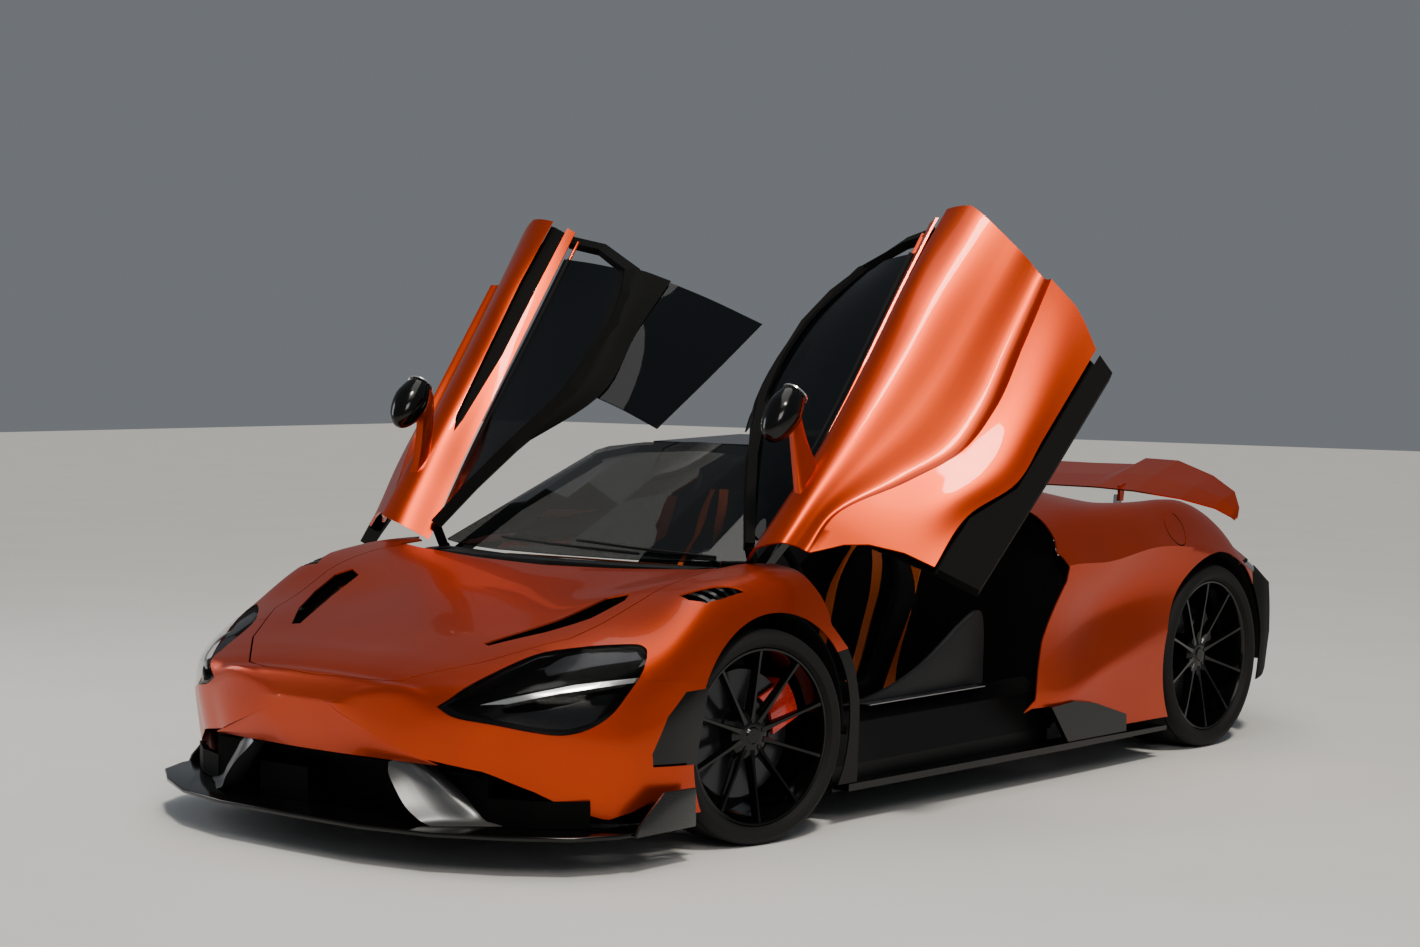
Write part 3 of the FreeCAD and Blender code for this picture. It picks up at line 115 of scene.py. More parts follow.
class Finish:
    """One material with its Principled shader."""

    def __init__(self, name, color, roughness=0.5, metallic=0.0, **more):
        self.material = bpy.data.materials.new(name)
        self.material.use_nodes = True
        self.tree = self.material.node_tree
        self.shader = self.tree.nodes["Principled BSDF"]
        self.set("Base Color", (*color, 1))
        self.set("Roughness", roughness)
        self.set("Metallic", metallic)
        for key, value in more.items():
            self.set(key.replace("_", " "), value)
        self.place = Maths(self.tree, self.node("ShaderNodeTexCoord").outputs["Object"])

    def set(self, socket, value):
        self.shader.inputs[socket].default_value = value

    def link(self, source, socket):
        source = source.socket if isinstance(source, Maths) else source
        self.tree.links.new(source, self.shader.inputs[socket])

    def node(self, kind, settings=None, **inputs):
        made = self.tree.nodes.new(kind)
        for key, value in (settings or {}).items():
            setattr(made, key, value)
        for key, value in inputs.items():
            socket = made.inputs[key.replace("_", " ")]
            if isinstance(value, Maths):
                self.tree.links.new(value.socket, socket)
            elif isinstance(value, bpy.types.NodeSocket):
                self.tree.links.new(value, socket)
            else:
                socket.default_value = value
        return made

    def noise(self, scale, detail=2.0, roughness=0.5):
        made = self.node("ShaderNodeTexNoise", Vector=self.place, Scale=scale, Detail=detail,
                         Roughness=roughness)
        return Maths(self.tree, made.outputs["Fac"])

    def cells(self, scale):
        made = self.node("ShaderNodeTexVoronoi", {"feature": "F1"}, Vector=self.place, Scale=scale)
        return Maths(self.tree, made.outputs["Distance"])

    def blend(self, factor, first, second):
        made = self.node("ShaderNodeMix", {"data_type": "RGBA"})
        self.tree.links.new(factor.socket, made.inputs[0])
        made.inputs[6].default_value = (*first, 1)
        made.inputs[7].default_value = (*second, 1)
        return made.outputs[2]

    def bump(self, height, strength, distance):
        made = self.node("ShaderNodeBump", Strength=strength, Distance=distance, Height=height)
        self.link(made.outputs["Normal"], "Normal")

    def parts(self):
        made = self.node("ShaderNodeSeparateXYZ", Vector=self.place)
        return [Maths(self.tree, output) for output in made.outputs]


FLAKES, DRIFT, PEEL = 2600.0, 3.0, 900.0
FLAKE_SHARE = 0.55


def candy_paint(name, color, deep):
    """Metallic paint: fine flakes, a slow drift between two colours, and orange peel."""
    candy = Finish(name, color, 0.30, 0.80, Coat_Weight=0.3, Coat_Roughness=0.03, Coat_IOR=1.4)
    flake = candy.cells(FLAKES)
    mask = flake * FLAKE_SHARE + candy.noise(DRIFT) * (1 - FLAKE_SHARE)
    candy.link(candy.blend(mask, deep, color), "Base Color")
    candy.link(flake * 0.10 + 0.29, "Roughness")
    candy.bump(candy.noise(PEEL, 1.0), 0.02, 0.0004)
    return candy.material


ORANGE = candy_paint("candy_orange", (0.66, 0.068, 0.0), (0.40, 0.015, 0.0))


def speckled(name, color, roughness, metallic=0.0, grain=220.0, depth=0.15, spread=0.12, **more):
    """A plain finish with a fine grain in its colour, roughness and surface."""
    made = Finish(name, color, roughness, metallic, **more)
    pattern = made.noise(grain, 3.0, 0.6)
    lighter = tuple(min(1, c * 1.35 + 0.001) for c in color)
    made.link(made.blend(pattern, color, lighter), "Base Color")
    made.link(pattern * spread + (roughness - spread / 2), "Roughness")
    made.bump(pattern, depth, 0.0006)
    return made.material


GLOSS_BLACK = speckled("gloss_black", (0.0012, 0.0012, 0.0012), 0.14, grain=6.0, depth=0.0, spread=0.02,
                       Specular_IOR_Level=0.35)
SATIN_BLACK = speckled("satin_black", (0.0030, 0.0030, 0.0032), 0.42, Specular_IOR_Level=0.2)
SOFT_BLACK = speckled("soft_black", (0.0045, 0.0045, 0.0048), 0.75, grain=240.0, depth=0.06,
                      Specular_IOR_Level=0.15)
SATIN_GREY = speckled("satin_grey", (0.13, 0.133, 0.137), 0.36, 0.8, grain=300.0, depth=0.05)
PANEL_BLACK = speckled("panel_black", (0.0016, 0.0016, 0.0017), 0.62, grain=30.0, depth=0.0, spread=0.02,
                       Specular_IOR_Level=0.07)
PANEL_GREY = speckled("panel_grey", (0.020, 0.020, 0.021), 0.45, grain=260.0, depth=0.04,
                      Specular_IOR_Level=0.3)
DEEP_BLACK = speckled("deep_black", (0.0012, 0.0012, 0.0012), 0.6, grain=200.0, depth=0.05,
                      Specular_IOR_Level=0.06)
STEEL = speckled("machined_steel", (0.30, 0.30, 0.31), 0.32, 0.9, grain=160.0, depth=0.05)
CAST = speckled("cast_metal", (0.12, 0.12, 0.125), 0.6, 0.7, grain=90.0, depth=0.4)
RUBBER = speckled("tyre_rubber", (0.0055, 0.0055, 0.006), 0.72, grain=350.0, depth=0.25,
                  Specular_IOR_Level=0.25)
RED = speckled("calliper_red", (0.62, 0.022, 0.008), 0.28, 0.1, grain=120.0, depth=0.05, Coat_Weight=0.8,
               Coat_Roughness=0.06)
CHROME_WHITE = speckled("light_bar", (0.78, 0.80, 0.82), 0.16, 0.85, grain=40.0, depth=0.01, spread=0.05)
TAIL_RED = speckled("tail_lens", (0.05, 0.004, 0.004), 0.08, grain=60.0, depth=0.02, spread=0.04,
                    Coat_Weight=0.6)
DARK_CHROME = speckled("dark_chrome", (0.035, 0.036, 0.04), 0.18, 0.8, grain=12.0, depth=0.0, spread=0.05)
STRIPE = speckled("orange_trim", (0.78, 0.14, 0.015), 0.55, grain=500.0, depth=0.2)
THREADS, THREAD_LEAN = 900.0, 250.0


def carbon_weave(name, roughness):
    """Two crossing sets of threads under a thin coat."""
    made = Finish(name, (0.01, 0.01, 0.011), roughness, 0.0, Coat_Weight=0.2, Coat_Roughness=0.08)
    x, y, z = made.parts()
    warp = (x * THREADS + y * THREADS + z * THREAD_LEAN).value("SINE")
    weft = (y * THREADS - z * THREADS + x * THREAD_LEAN).value("SINE")
    weave = (warp * weft + 1.0) * 0.5
    made.link(made.blend(weave, (0.002, 0.002, 0.002), (0.016, 0.016, 0.017)), "Base Color")
    made.link(weave * 0.12 + (roughness - 0.06), "Roughness")
    made.bump(weave, 0.15, 0.0003)
    return made.material


CARBON = carbon_weave("carbon_fibre", 0.28)


def tinted(name, color, alpha):
    """Glass or clear plastic that lets light through by its alpha."""
    made = Finish(name, color, 0.02, 0.0, Alpha=alpha, IOR=1.45, Specular_IOR_Level=0.35)
    made.link(made.noise(8.0) * 0.01 + 0.015, "Roughness")
    return made.material


GLASS = tinted("tinted_glass", (0.002, 0.003, 0.003), 0.72)
ROOF_GLASS = tinted("dark_roof_glass", (0.002, 0.003, 0.004), 0.90)
CLEAR = tinted("clear_lens", (0.004, 0.004, 0.004), 0.10)


# Mesh helpers
BEYOND = 1100
MERGE = 0.00001


def spot(x, station, z):
    return Vector((x, station - AXLE_STATION, z)) * MM


def only(obj):
    bpy.ops.object.select_all(action="DESELECT")
    obj.select_set(True)
    bpy.context.view_layer.objects.active = obj


def new_mesh(name, points, faces):
    mesh = bpy.data.meshes.new(name)
    mesh.from_pydata([tuple(p) for p in points], [], faces)
    mesh.update()
    obj = bpy.data.objects.new(name, mesh)
    bpy.context.scene.collection.objects.link(obj)
    return obj


def outward(obj):
    """Closes the seams of a mesh and points its faces outwards."""
    only(obj)
    bpy.ops.object.mode_set(mode="EDIT")
    bpy.ops.mesh.select_all(action="SELECT")
    bpy.ops.mesh.remove_doubles(threshold=MERGE)
    bpy.ops.mesh.normals_make_consistent(inside=False)
    bpy.ops.object.mode_set(mode="OBJECT")


def modify(obj, kind, **settings):
    only(obj)
    made = obj.modifiers.new(kind.lower(), kind)
    for key, value in settings.items():
        setattr(made, key, value)
    bpy.ops.object.modifier_apply(modifier=made.name)


SMOOTH_DEGREES = 32


def smooth(obj, degrees=SMOOTH_DEGREES):
    only(obj)
    bpy.ops.object.shade_smooth_by_angle(angle=math.radians(degrees))


def paint(obj, material):
    obj.data.materials.clear()
    obj.data.materials.append(material)


def finish(obj, material, body, replaced=(), degrees=SMOOTH_DEGREES):
    """The last step of a piece: material, smooth shading, its body, and the nodes it stands for."""
    paint(obj, material)
    smooth(obj, degrees)
    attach(obj, body)
    if replaced:
        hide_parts(*replaced)
    return obj


def prism(outline, axis, low, high):
    """A cutter: an outline in the two other axes, pushed along one axis from low to high."""
    def corner(u, v, w):
        return {"x": spot(w, u, v), "y": spot(u, w, v), "z": spot(u, v, w)}[axis]
    count = len(outline)
    points = [corner(u, v, low) for u, v in outline] + [corner(u, v, high) for u, v in outline]
    faces = [list(range(count))[::-1], list(range(count, 2 * count))]
    faces += [[i, (i + 1) % count, count + (i + 1) % count, count + i] for i in range(count)]
    made = new_mesh("cutter", points, faces)
    outward(made)
    return made


def across(outline):
    """A cutter that reaches past both sides of the car."""
    return prism(outline, "x", -BEYOND, BEYOND)


def one_side(side, inner, outer):
    """Two places on one side of the car, the lower x first."""
    return sorted((side * inner, side * outer))


def both_sides(half):
    """A whole outline from its half on the left, with points on the middle line taken once."""
    return [*half, *[(-x, v) for x, v in reversed(half) if x]]


def drum(x0, x1, y, z, radius, segments=96):
    """A cylinder along the x axis."""
    bpy.ops.object.select_all(action="DESELECT")
    bpy.ops.mesh.primitive_cylinder_add(vertices=segments, radius=radius * MM, depth=(x1 - x0) * MM,
                                        location=((x0 + x1) / 2 * MM, y * MM, z * MM),
                                        rotation=(0, math.pi / 2, 0))
    made = bpy.context.object
    bpy.ops.object.transform_apply(location=True, rotation=True, scale=True)
    return made


def boolean(obj, cutter, operation="DIFFERENCE"):
    """Cuts a piece by another mesh, which goes away."""
    modify(obj, "BOOLEAN", object=cutter, operation=operation, solver="EXACT")
    bpy.data.objects.remove(cutter)


def duplicate(obj, name):
    made = obj.copy()
    made.data = obj.data.copy()
    made.name = name
    bpy.context.scene.collection.objects.link(made)
    return made


def flip_x(obj):
    """Mirrors a mesh to the other side of the car and turns its faces outwards again."""
    obj.data.transform(Matrix.Scale(-1, 4, Vector((1, 0, 0))))
    obj.data.flip_normals()


def joined(objects, name):
    only(objects[0])
    for obj in objects[1:]:
        obj.select_set(True)
    bpy.ops.object.join()
    made = bpy.context.object
    made.name = name
    return made


def through(points, per, steps=None):
    """A smooth line through points; steps gives the spacing that the line is parted by."""
    line = np.array(points, float)
    if steps is None:
        steps = np.sqrt(np.linalg.norm(np.diff(line, axis=0), axis=1)) + 1e-6
    steps = np.array(steps, float).reshape([-1] + [1] * (line.ndim - 1))
    slopes = np.diff(line, axis=0) / steps
    tangents = np.empty_like(line)
    tangents[0], tangents[-1] = slopes[0], slopes[-1]
    tangents[1:-1] = (slopes[1:] * steps[:-1] + slopes[:-1] * steps[1:]) / (steps[1:] + steps[:-1])
    out = []
    for i in range(len(line) - 1):
        for t in np.linspace(0, 1, per, endpoint=False):
            rise = steps[i]
            out.append((2 * t**3 - 3 * t**2 + 1) * line[i] + (t**3 - 2 * t**2 + t) * rise * tangents[i]
                       + (3 * t**2 - 2 * t**3) * line[i + 1] + (t**3 - t**2) * rise * tangents[i + 1])
    out.append(line[-1])
    return np.array(out)


def creased(row, per, creases):
    """A smooth line that has a corner at each of the creases, which are given as places in the row."""
    ends = [0, *creases, len(row) - 1]
    runs = [through(row[a:b + 1], per)[:-1] for a, b in zip(ends, ends[1:])]
    return np.vstack([*runs, np.array(row[-1:], float)])


def sheet_from(rows, name, across_per=8, along_per=8, along_x=False, creases=()):
    """A smooth sheet through rows of points, all equally long."""
    dense = np.array([creased(row, across_per, creases) for row in rows])
    way = 0 if along_x else 1
    gaps = [abs(b[0][way] - a[0][way]) + 1 for a, b in zip(rows, rows[1:])]
    grid = through(dense, along_per, gaps)
    n, m = grid.shape[:2]
    bpy.ops.object.select_all(action="DESELECT")
    bpy.ops.mesh.primitive_grid_add(x_subdivisions=n - 1, y_subdivisions=m - 1, size=2)
    made = bpy.context.object
    made.name = name
    for vertex in made.data.vertices:
        i = round((vertex.co.x + 1) / 2 * (n - 1))
        j = round((vertex.co.y + 1) / 2 * (m - 1))
        vertex.co = spot(*grid[i, j])
    made.data.update()
    return made


def shell(obj, thickness, outside):
    """Gives a sheet a wall, inwards from the face that looks towards the given direction."""
    vote = sum(face.normal.dot((face.center - outside)) * face.area for face in obj.data.polygons)
    if vote < 0:
        obj.data.flip_normals()
    modify(obj, "SOLIDIFY", thickness=thickness * MM, offset=-1)
    return obj


# The front body. Each row goes from the underside to the top centre
FRONT_TABLE = (
    (-1015, (90, 449), (110, 449.2), (113, 449.5), (110, 449.8), (90, 450), (45, 450), 450),
    (-1012, (100, 443), (126, 445), (132, 449), (126, 453), (100, 455), (50, 456), 456),
    (-1008, (120, 425), (160, 432), (172, 447), (160, 462), (120, 470), (60, 474), 475),
    (-1002, (205, 396), (232, 412), (238, 445), (228, 480), (160, 490), (80, 494), 495),
    (-945, (480, 300), (505, 365), (520, 440), (480, 500), (350, 523), (180, 533), 536),
    (-860, (640, 250), (665, 330), (683, 420), (655, 505), (500, 548), (250, 568), 572),
    (-760, (770, 180), (790, 280), (800, 400), (765, 515), (600, 575), (300, 596), 598),
    (-640, (880, 150), (890, 240), (893, 400), (845, 545), (640, 618), (320, 630), 632),
    (-480, (925, 140), (938, 250), (942, 430), (900, 600), (680, 668), (340, 672), 675),
    (-250, (940, 140), (950, 300), (955, 560), (895, 735), (690, 762), (380, 735), 735),
    (0, (945, 140), (952, 300), (962, 640), (890, 790), (760, 812), (560, 797), 790),
    (420, (950, 140), (955, 300), (962, 600), (915, 780), (790, 830), (600, 822), 815),
)
REAR_TABLE = (
    (1370, (905, 150), (912, 320), (912, 500), (918, 640), (880, 885), (745, 960), (420, 1130), 1165),
    (1600, (925, 150), (948, 288), (922, 520), (944, 735), (872, 885), (735, 968), (410, 1100), 1130),
    (1900, (935, 150), (958, 384), (902, 560), (958, 745), (872, 905), (735, 958), (400, 1020), 1040),
    (2250, (948, 150), (962, 460), (938, 620), (963, 780), (862, 925), (700, 925), (400, 950), 962),
    (2620, (955, 150), (965, 500), (966, 620), (966, 740), (862, 912), (700, 890), (400, 900), 905),
    (2850, (950, 190), (960, 460), (960, 580), (958, 680), (868, 805), (720, 845), (400, 868), 872),
    (3000, (935, 215), (945, 420), (942, 540), (935, 640), (850, 700), (710, 800), (400, 850), 855),
    (3170, (890, 235), (902, 400), (900, 510), (895, 600), (820, 660), (680, 760), (400, 835), 842),
    (3280, (830, 270), (850, 390), (850, 490), (845, 575), (770, 650), (620, 740), (350, 820), 830),
    (3400, (660, 300), (690, 400), (692, 490), (690, 570), (640, 650), (500, 730), (300, 800), 815),
    (3468, (430, 320), (450, 400), (452, 480), (450, 560), (430, 640), (350, 710), (220, 775), 790),
)


def scaled(outline, factor):
    """An outline made larger or smaller about its middle."""
    middle = np.mean(outline, axis=0)
    return [tuple(middle + (np.array(corner) - middle) * factor) for corner in outline]


def patch(source, name, outline, axis, low, high, shift=(0, 0, 0)):
    """The part of a panel within an outline, moved by a shift in millimetres."""
    made = duplicate(source, name)
    boolean(made, prism(outline, axis, low, high), "INTERSECT")
    made.data.transform(Matrix.Translation(Vector(shift) * MM))
    return made


def loft(rings, name, ring_per=3, along_per=4, smooth_ring=True):
    """A closed body through rings of points."""
    dense = []
    for ring in rings:
        closed = list(ring) + [ring[0]]
        dense.append(through(closed, ring_per)[:-1] if smooth_ring else np.array(ring, float))
    grid = through(np.array(dense), along_per, [1.0] * (len(rings) - 1))
    count, around = grid.shape[:2]
    points = [spot(*p) for ring in grid for p in ring]
    faces = [[i * around + j, i * around + (j + 1) % around, (i + 1) * around + (j + 1) % around,
              (i + 1) * around + j] for i in range(count - 1) for j in range(around)]
    faces += [list(range(around)), list(range((count - 1) * around, count * around))]
    made = new_mesh(name, points, faces)
    outward(made)
    return made


def rail(points, width, height, name, per=6, round_by=0.0):
    """A bar with a rectangular section along a smooth line; the width is level."""
    line = through(points, per)
    rings = []
    for i, here in enumerate(line):
        run = line[min(i + 1, len(line) - 1)] - line[max(i - 1, 0)]
        run = run / np.linalg.norm(run)
        side = np.cross(run, (0, 0, 1))
        side = side / np.linalg.norm(side) * width / 2
        up = np.cross(side, run)
        up = up / np.linalg.norm(up) * height / 2
        rings.append([here + side + up, here - side + up, here - side - up, here + side - up])
    made = loft(rings, name, 1, 1, False)
    if round_by:
        modify(made, "BEVEL", width=round_by * MM, segments=2)
    return made


def turned(profile, name, steps=96):
    """A profile of (x, radius) turned about the x axis."""
    points = [Vector((x, 0, r)) * MM for x, r in profile]
    made = new_mesh(name, points, [])
    made.data.edges.add(len(profile))
    for i in range(len(profile)):
        made.data.edges[i].vertices = (i, (i + 1) % len(profile))
    made.data.update()
    modify(made, "SCREW", angle=2 * math.pi, steps=steps, render_steps=steps, axis="X",
           use_merge_vertices=True, merge_threshold=MERGE)
    outward(made)
    return made


def body_rows(table):
    """Whole rows of a body table, from the left underside over the top to the right underside."""
    rows = []
    for station, *half, top_z in table:
        left = [(x, station, z) for x, z in half]
        rows.append(left + [(0, station, top_z)] + [(-x, station, z) for x, z in reversed(half)])
    return rows


SKIN = 5.0
FRONT_ARCH_INNER, REAR_ARCH_INNER = 528, 580


def arch_room(side, inner, axle_y, tyre_radius):
    """The round room of a wheel arch on one side."""
    return drum(*one_side(side, inner, BEYOND), axle_y, tyre_radius, tyre_radius + ARCH_ROOM)


front = shell(sheet_from(body_rows(FRONT_TABLE), "front", 7, 9), SKIN, spot(0, -300, 300))
lens_sheet = duplicate(front, "lens_sheet")
for side in (1, -1):
    boolean(front, arch_room(side, FRONT_ARCH_INNER, FRONT_AXLE_Y, FRONT_TYRE))
DOOR_FRONT_EDGE = ((196, 880), (205, 827), (229, 773), (253, 732), (275, 681), (280, 643), (355, 568),
                   (394, 504), (427, 398), (437, 296), (446, 146))
DOOR_REAR_EDGE = ((1569, 1000), (1569, 946), (1592, 913), (1610, 832), (1542, 576), (1505, 482), (1470, 371),
                  (1438, 321), (1377, 244), (1335, 146))
DOOR_FRONT_ROOM, DOOR_REAR_ROOM = 12, 8
behind = [(s - DOOR_FRONT_ROOM, z) for s, z in DOOR_FRONT_EDGE] + [(900, 60), (900, 880)]
boolean(front, across(behind))
HINGE_NOTCH = ((600, 120), (690, 130), (775, 168), (775, 260), (600, 260))
for side in (1, -1):
    boolean(front, prism([(side * x, s) for x, s in HINGE_NOTCH], "z", 600, 1000))
BONNET_SEAM = ((0, -985), (220, -975), (330, -940), (490, -790), (640, -570), (690, -300), (698, -80),
               (682, 44), (520, 38), (300, 5), (0, -15))
CABIN_FRONT = ((700, 30), (710, 900), (-710, 900), (-700, 30), (-520, 40), (-300, 7), (0, -13), (300, 7),
               (520, 40))
BONNET_LOW, ABOVE = 440, 1200
BONNET_GAP = 4.0


def seam(grow):
    """The bonnet's outline, made larger to the sides, at its nose and at its rear edge."""
    half = []
    for x, station in BONNET_SEAM:
        station = station - (grow if station < -600 else 0) + (grow if station > -50 else 0)
        half.append((x + (grow if x else 0), station))
    return both_sides(half)


bonnet = duplicate(front, "bonnet_panel")
boolean(bonnet, prism(seam(0), "z", BONNET_LOW, ABOVE), "INTERSECT")
boolean(front, prism(seam(BONNET_GAP), "z", BONNET_LOW - BONNET_GAP, ABOVE))
boolean(front, prism(CABIN_FRONT, "z", BONNET_LOW, ABOVE))
MOUTH = ((0, 296), (261, 296), (300, 312), (410, 318), (546, 299), (605, 288), (725, 233), (809, 180),
         (870, 150), (905, 168), (934, 205), (960, 214), (1080, 214), (1080, 60), (0, 60))
boolean(front, prism(both_sides(MOUTH), "y", -BEYOND, -420))
LAMP_OUTLINE = ((484, 466), (530, 500), (563, 548), (613, 602), (696, 623), (787, 633), (844, 632),
                (873, 614), (896, 565), (894, 505), (877, 446), (843, 410), (796, 395), (737, 403),
                (628, 426), (529, 442))
lamp_line = [(x, z) for x, z in through(LAMP_OUTLINE + LAMP_OUTLINE[:1], 4)[:-1]]
OUTLET = ((-405, 499), (-300, 503), (-325, 400), (-345, 283), (-530, 293), (-535, 333), (-478, 434))
BONNET_VENT = ((400, -680), (500, -460), (545, -300), (610, -270), (634, -320), (605, -440), (535, -565),
               (430, -690))
FENDER_VENT = ((790, -262), (830, -190), (846, -158), (905, -80), (900, -190), (888, -250), (845, -272))
LIGHT_BAR = ((603, 478), (666, 498), (791, 534), (891, 549), (891, 536), (791, 517), (668, 482))
UPPER_POD = ((680, 572), (689, 600), (739, 616), (844, 618), (872, 598), (786, 580), (711, 556))
LOWER_POD = ((700, 425), (640, 440), (720, 462), (800, 480), (862, 478), (850, 432), (800, 412))
LOUVRE_SLATS = (-248, -212, -176, -140)
SLAT_THICKNESS, SLAT_LEAN = 13, 20
LAMP_FROM, LAMP_TO = -965, -380
VENT_LOW, VENT_HIGH = 600, 900
lens_parts, bar_parts, pod_parts, liner_parts, bonnet_liners = [], [], [], [], []
for side in (1, -1):
    def sided(outline):
        return [(side * u, v) for u, v in outline]
    boolean(front, prism(sided(lamp_line), "y", LAMP_FROM, LAMP_TO))
    lens_line = scaled(sided(lamp_line), 0.985)
    lens_parts.append(patch(lens_sheet, "lens", lens_line, "y", LAMP_FROM, LAMP_TO))
    bar_parts.append(patch(lens_sheet, "bar", sided(LIGHT_BAR), "y", LAMP_FROM, LAMP_TO, (-side * 6, 14, -2)))
    for pod in (UPPER_POD, LOWER_POD):
        pod_parts.append(patch(lens_sheet, "pod", sided(pod), "y", LAMP_FROM, LAMP_TO, (-side * 8, 18, -4)))
    duct = one_side(side, 860, 1000)
    boolean(front, prism(OUTLET, "x", *duct))
    liner_parts.append(patch(lens_sheet, "outlet", scaled(OUTLET, 1.04), "x", *duct, (-side * 16, 0, 0)))
    boolean(front, prism(sided(FENDER_VENT), "z", VENT_LOW, VENT_HIGH))
    vent_floor = scaled(sided(FENDER_VENT), 1.12)
    liner_parts.append(patch(lens_sheet, "louvre", vent_floor, "z", VENT_LOW, VENT_HIGH, (0, 0, -26)))
    for station in LOUVRE_SLATS:
        slat = prism(sided(FENDER_VENT), "z", VENT_LOW, VENT_HIGH)
        leaning = ((station, 0), (station + SLAT_THICKNESS, 0), (station + SLAT_THICKNESS + SLAT_LEAN, ABOVE),
                   (station + SLAT_LEAN, ABOVE))
        boolean(slat, across(leaning), "INTERSECT")
        around_vent = scaled(sided(FENDER_VENT), 1.05)
        band = patch(lens_sheet, "band", around_vent, "z", VENT_LOW, VENT_HIGH, (0, 0, -5))
        boolean(slat, band, "INTERSECT")
        liner_parts.append(slat)
    boolean(bonnet, prism(sided(BONNET_VENT), "z", 560, VENT_HIGH))
    vent_floor = scaled(sided(BONNET_VENT), 1.12)
    bonnet_liners.append(patch(lens_sheet, "vent", vent_floor, "z", 560, VENT_HIGH, (0, 0, -30)))
bpy.data.objects.remove(lens_sheet)
SEAM, TAIL_SEAM = 2, 3
BUMPER_LINE = ((-1100, 640), (-700, 640), (-600, 560), (-560, 545), (-300, 520), (-300, 60), (-1100, 60))
bumper = duplicate(front, "bumper_panel")
boolean(bumper, across(BUMPER_LINE), "INTERSECT")
boolean(front, across([(s + SEAM, z) for s, z in BUMPER_LINE]))
FENDER_TRIM = ((232, 548), (330, 560), (620, 600), (620, 60), (232, 60))
trims = patch(front, "fender_rear_trims", FENDER_TRIM, "x", -BEYOND, BEYOND)
boolean(front, across([(s - SEAM, z + SEAM) for s, z in FENDER_TRIM]))
finish(trims, SATIN_BLACK, "body")
front.name = "fender_panels"
finish(front, ORANGE, "body", ["fenders"])

# The chin, in rows of (x, upper station, upper z, lower station)
CHIN = ((0, -1014, 450, -968), (95, -1013, 447, -967), (126, -1009, 428, -966), (205, -1002, 398, -960),
        (345, -974, 348, -952), (478, -946, 301, -940))
CHIN_LOW = 296
CHIN_SWELL = 3
chin_rows = []
for x, station, z, low_station in [(-x, *rest) for x, *rest in reversed(CHIN) if x] + list(CHIN):
    chin_rows.append([(x, station, z),
                      (x, (station * 2 + low_station) / 3 - CHIN_SWELL, (z * 2 + CHIN_LOW) / 3),
                      (x, (station + low_station * 2) / 3 - CHIN_SWELL, (z + CHIN_LOW * 2) / 3),
                      (x, low_station, CHIN_LOW)])
chin = shell(sheet_from(chin_rows, "chin", 4, 5, along_x=True), SKIN, spot(0, -700, 400))
bumper = joined([bumper, chin], "bumper_panel")
finish(bumper, ORANGE, "body", ["front_bumper"])
finish(bonnet, ORANGE, "bonnet", ["bonnet"])
finish(joined(lens_parts, "headlamp_lenses"), CLEAR, "body", ())
finish(joined(bar_parts, "light_bars"), CHROME_WHITE, "body")
finish(joined(pod_parts, "headlamp_pods"), DARK_CHROME, "body")
finish(joined(liner_parts, "fender_duct_liners"), GLOSS_BLACK, "body")
finish(joined(bonnet_liners, "bonnet_vent_liners"), GLOSS_BLACK, "bonnet")

# The rear body
rear_sheet = sheet_from(body_rows(REAR_TABLE), "rear", 7, 9, creases=(1, 3, 11, 13))
rear = shell(rear_sheet, SKIN, spot(0, 2400, 300))
for side in (1, -1):
    boolean(rear, arch_room(side, REAR_ARCH_INNER, REAR_AXLE_Y, REAR_TYRE))
QUARTER_EDGE = ((1510, 1200), (1580, 1000), (1590, 930), (1450, 900), (1540, 842), (1630, 770), (1649, 736),
                (1644, 689), (1567, 568), (1520, 487), (1492, 397), (1470, 288), (1400, 233), (1360, 150),
                (1360, 60), (900, 60), (900, 1200))
boolean(rear, across(QUARTER_EDGE))
door_room = [(s + DOOR_REAR_ROOM, z) for s, z in DOOR_REAR_EDGE] + [(900, 146), (900, 1000)]
for side in (1, -1):
    boolean(rear, prism(door_room, "x", *one_side(side, 765, BEYOND)))
TAIL_STATION = 2975
TAIL_SPLIT_Z = 672
TAIL_END = 3600
tail = duplicate(rear, "rear_bumper_panel")
tail_room = ((TAIL_STATION, TAIL_SPLIT_Z), (TAIL_END, TAIL_SPLIT_Z), (TAIL_END, 60), (TAIL_STATION, 60))
boolean(tail, across(tail_room), "INTERSECT")
beside_tail = [(s - TAIL_SEAM, z + TAIL_SEAM) for s, z in tail_room]
boolean(rear, across(beside_tail))
COVER_PLAN = ((0, 1300), (560, 1300), (540, 1650), (470, 2100), (430, 2600), (430, TAIL_END), (0, TAIL_END))
COVER_LOW, COVER_HIGH = 500, 1300
cover_line = both_sides(COVER_PLAN)
cover = duplicate(rear, "engine_cover_panel")
boolean(cover, prism(cover_line, "z", COVER_LOW, COVER_HIGH), "INTERSECT")
cover_room = [(x + math.copysign(TAIL_SEAM, x) if x else 0, s) for x, s in cover_line]
boolean(rear, prism(cover_room, "z", COVER_LOW, COVER_HIGH))
LOUVRES, LOUVRE_START, LOUVRE_STEP, LOUVRE_LENGTH, LOUVRE_HALF = 5, 1720, 105, 34, 250
for i in range(LOUVRES):
    start = LOUVRE_START + i * LOUVRE_STEP
    end = start + LOUVRE_LENGTH
    louvre = ((-LOUVRE_HALF, start), (LOUVRE_HALF, start), (LOUVRE_HALF, end), (-LOUVRE_HALF, end))
    boolean(cover, prism(louvre, "z", 600, COVER_HIGH))
UNDER_LINE = ((1300, 60), (1300, 235), (1377, 235), (1456, 262), (1529, 262), (1675, 270), (1815, 250),
              (2025, 190), (2040, 60))
boolean(rear, across(UNDER_LINE))
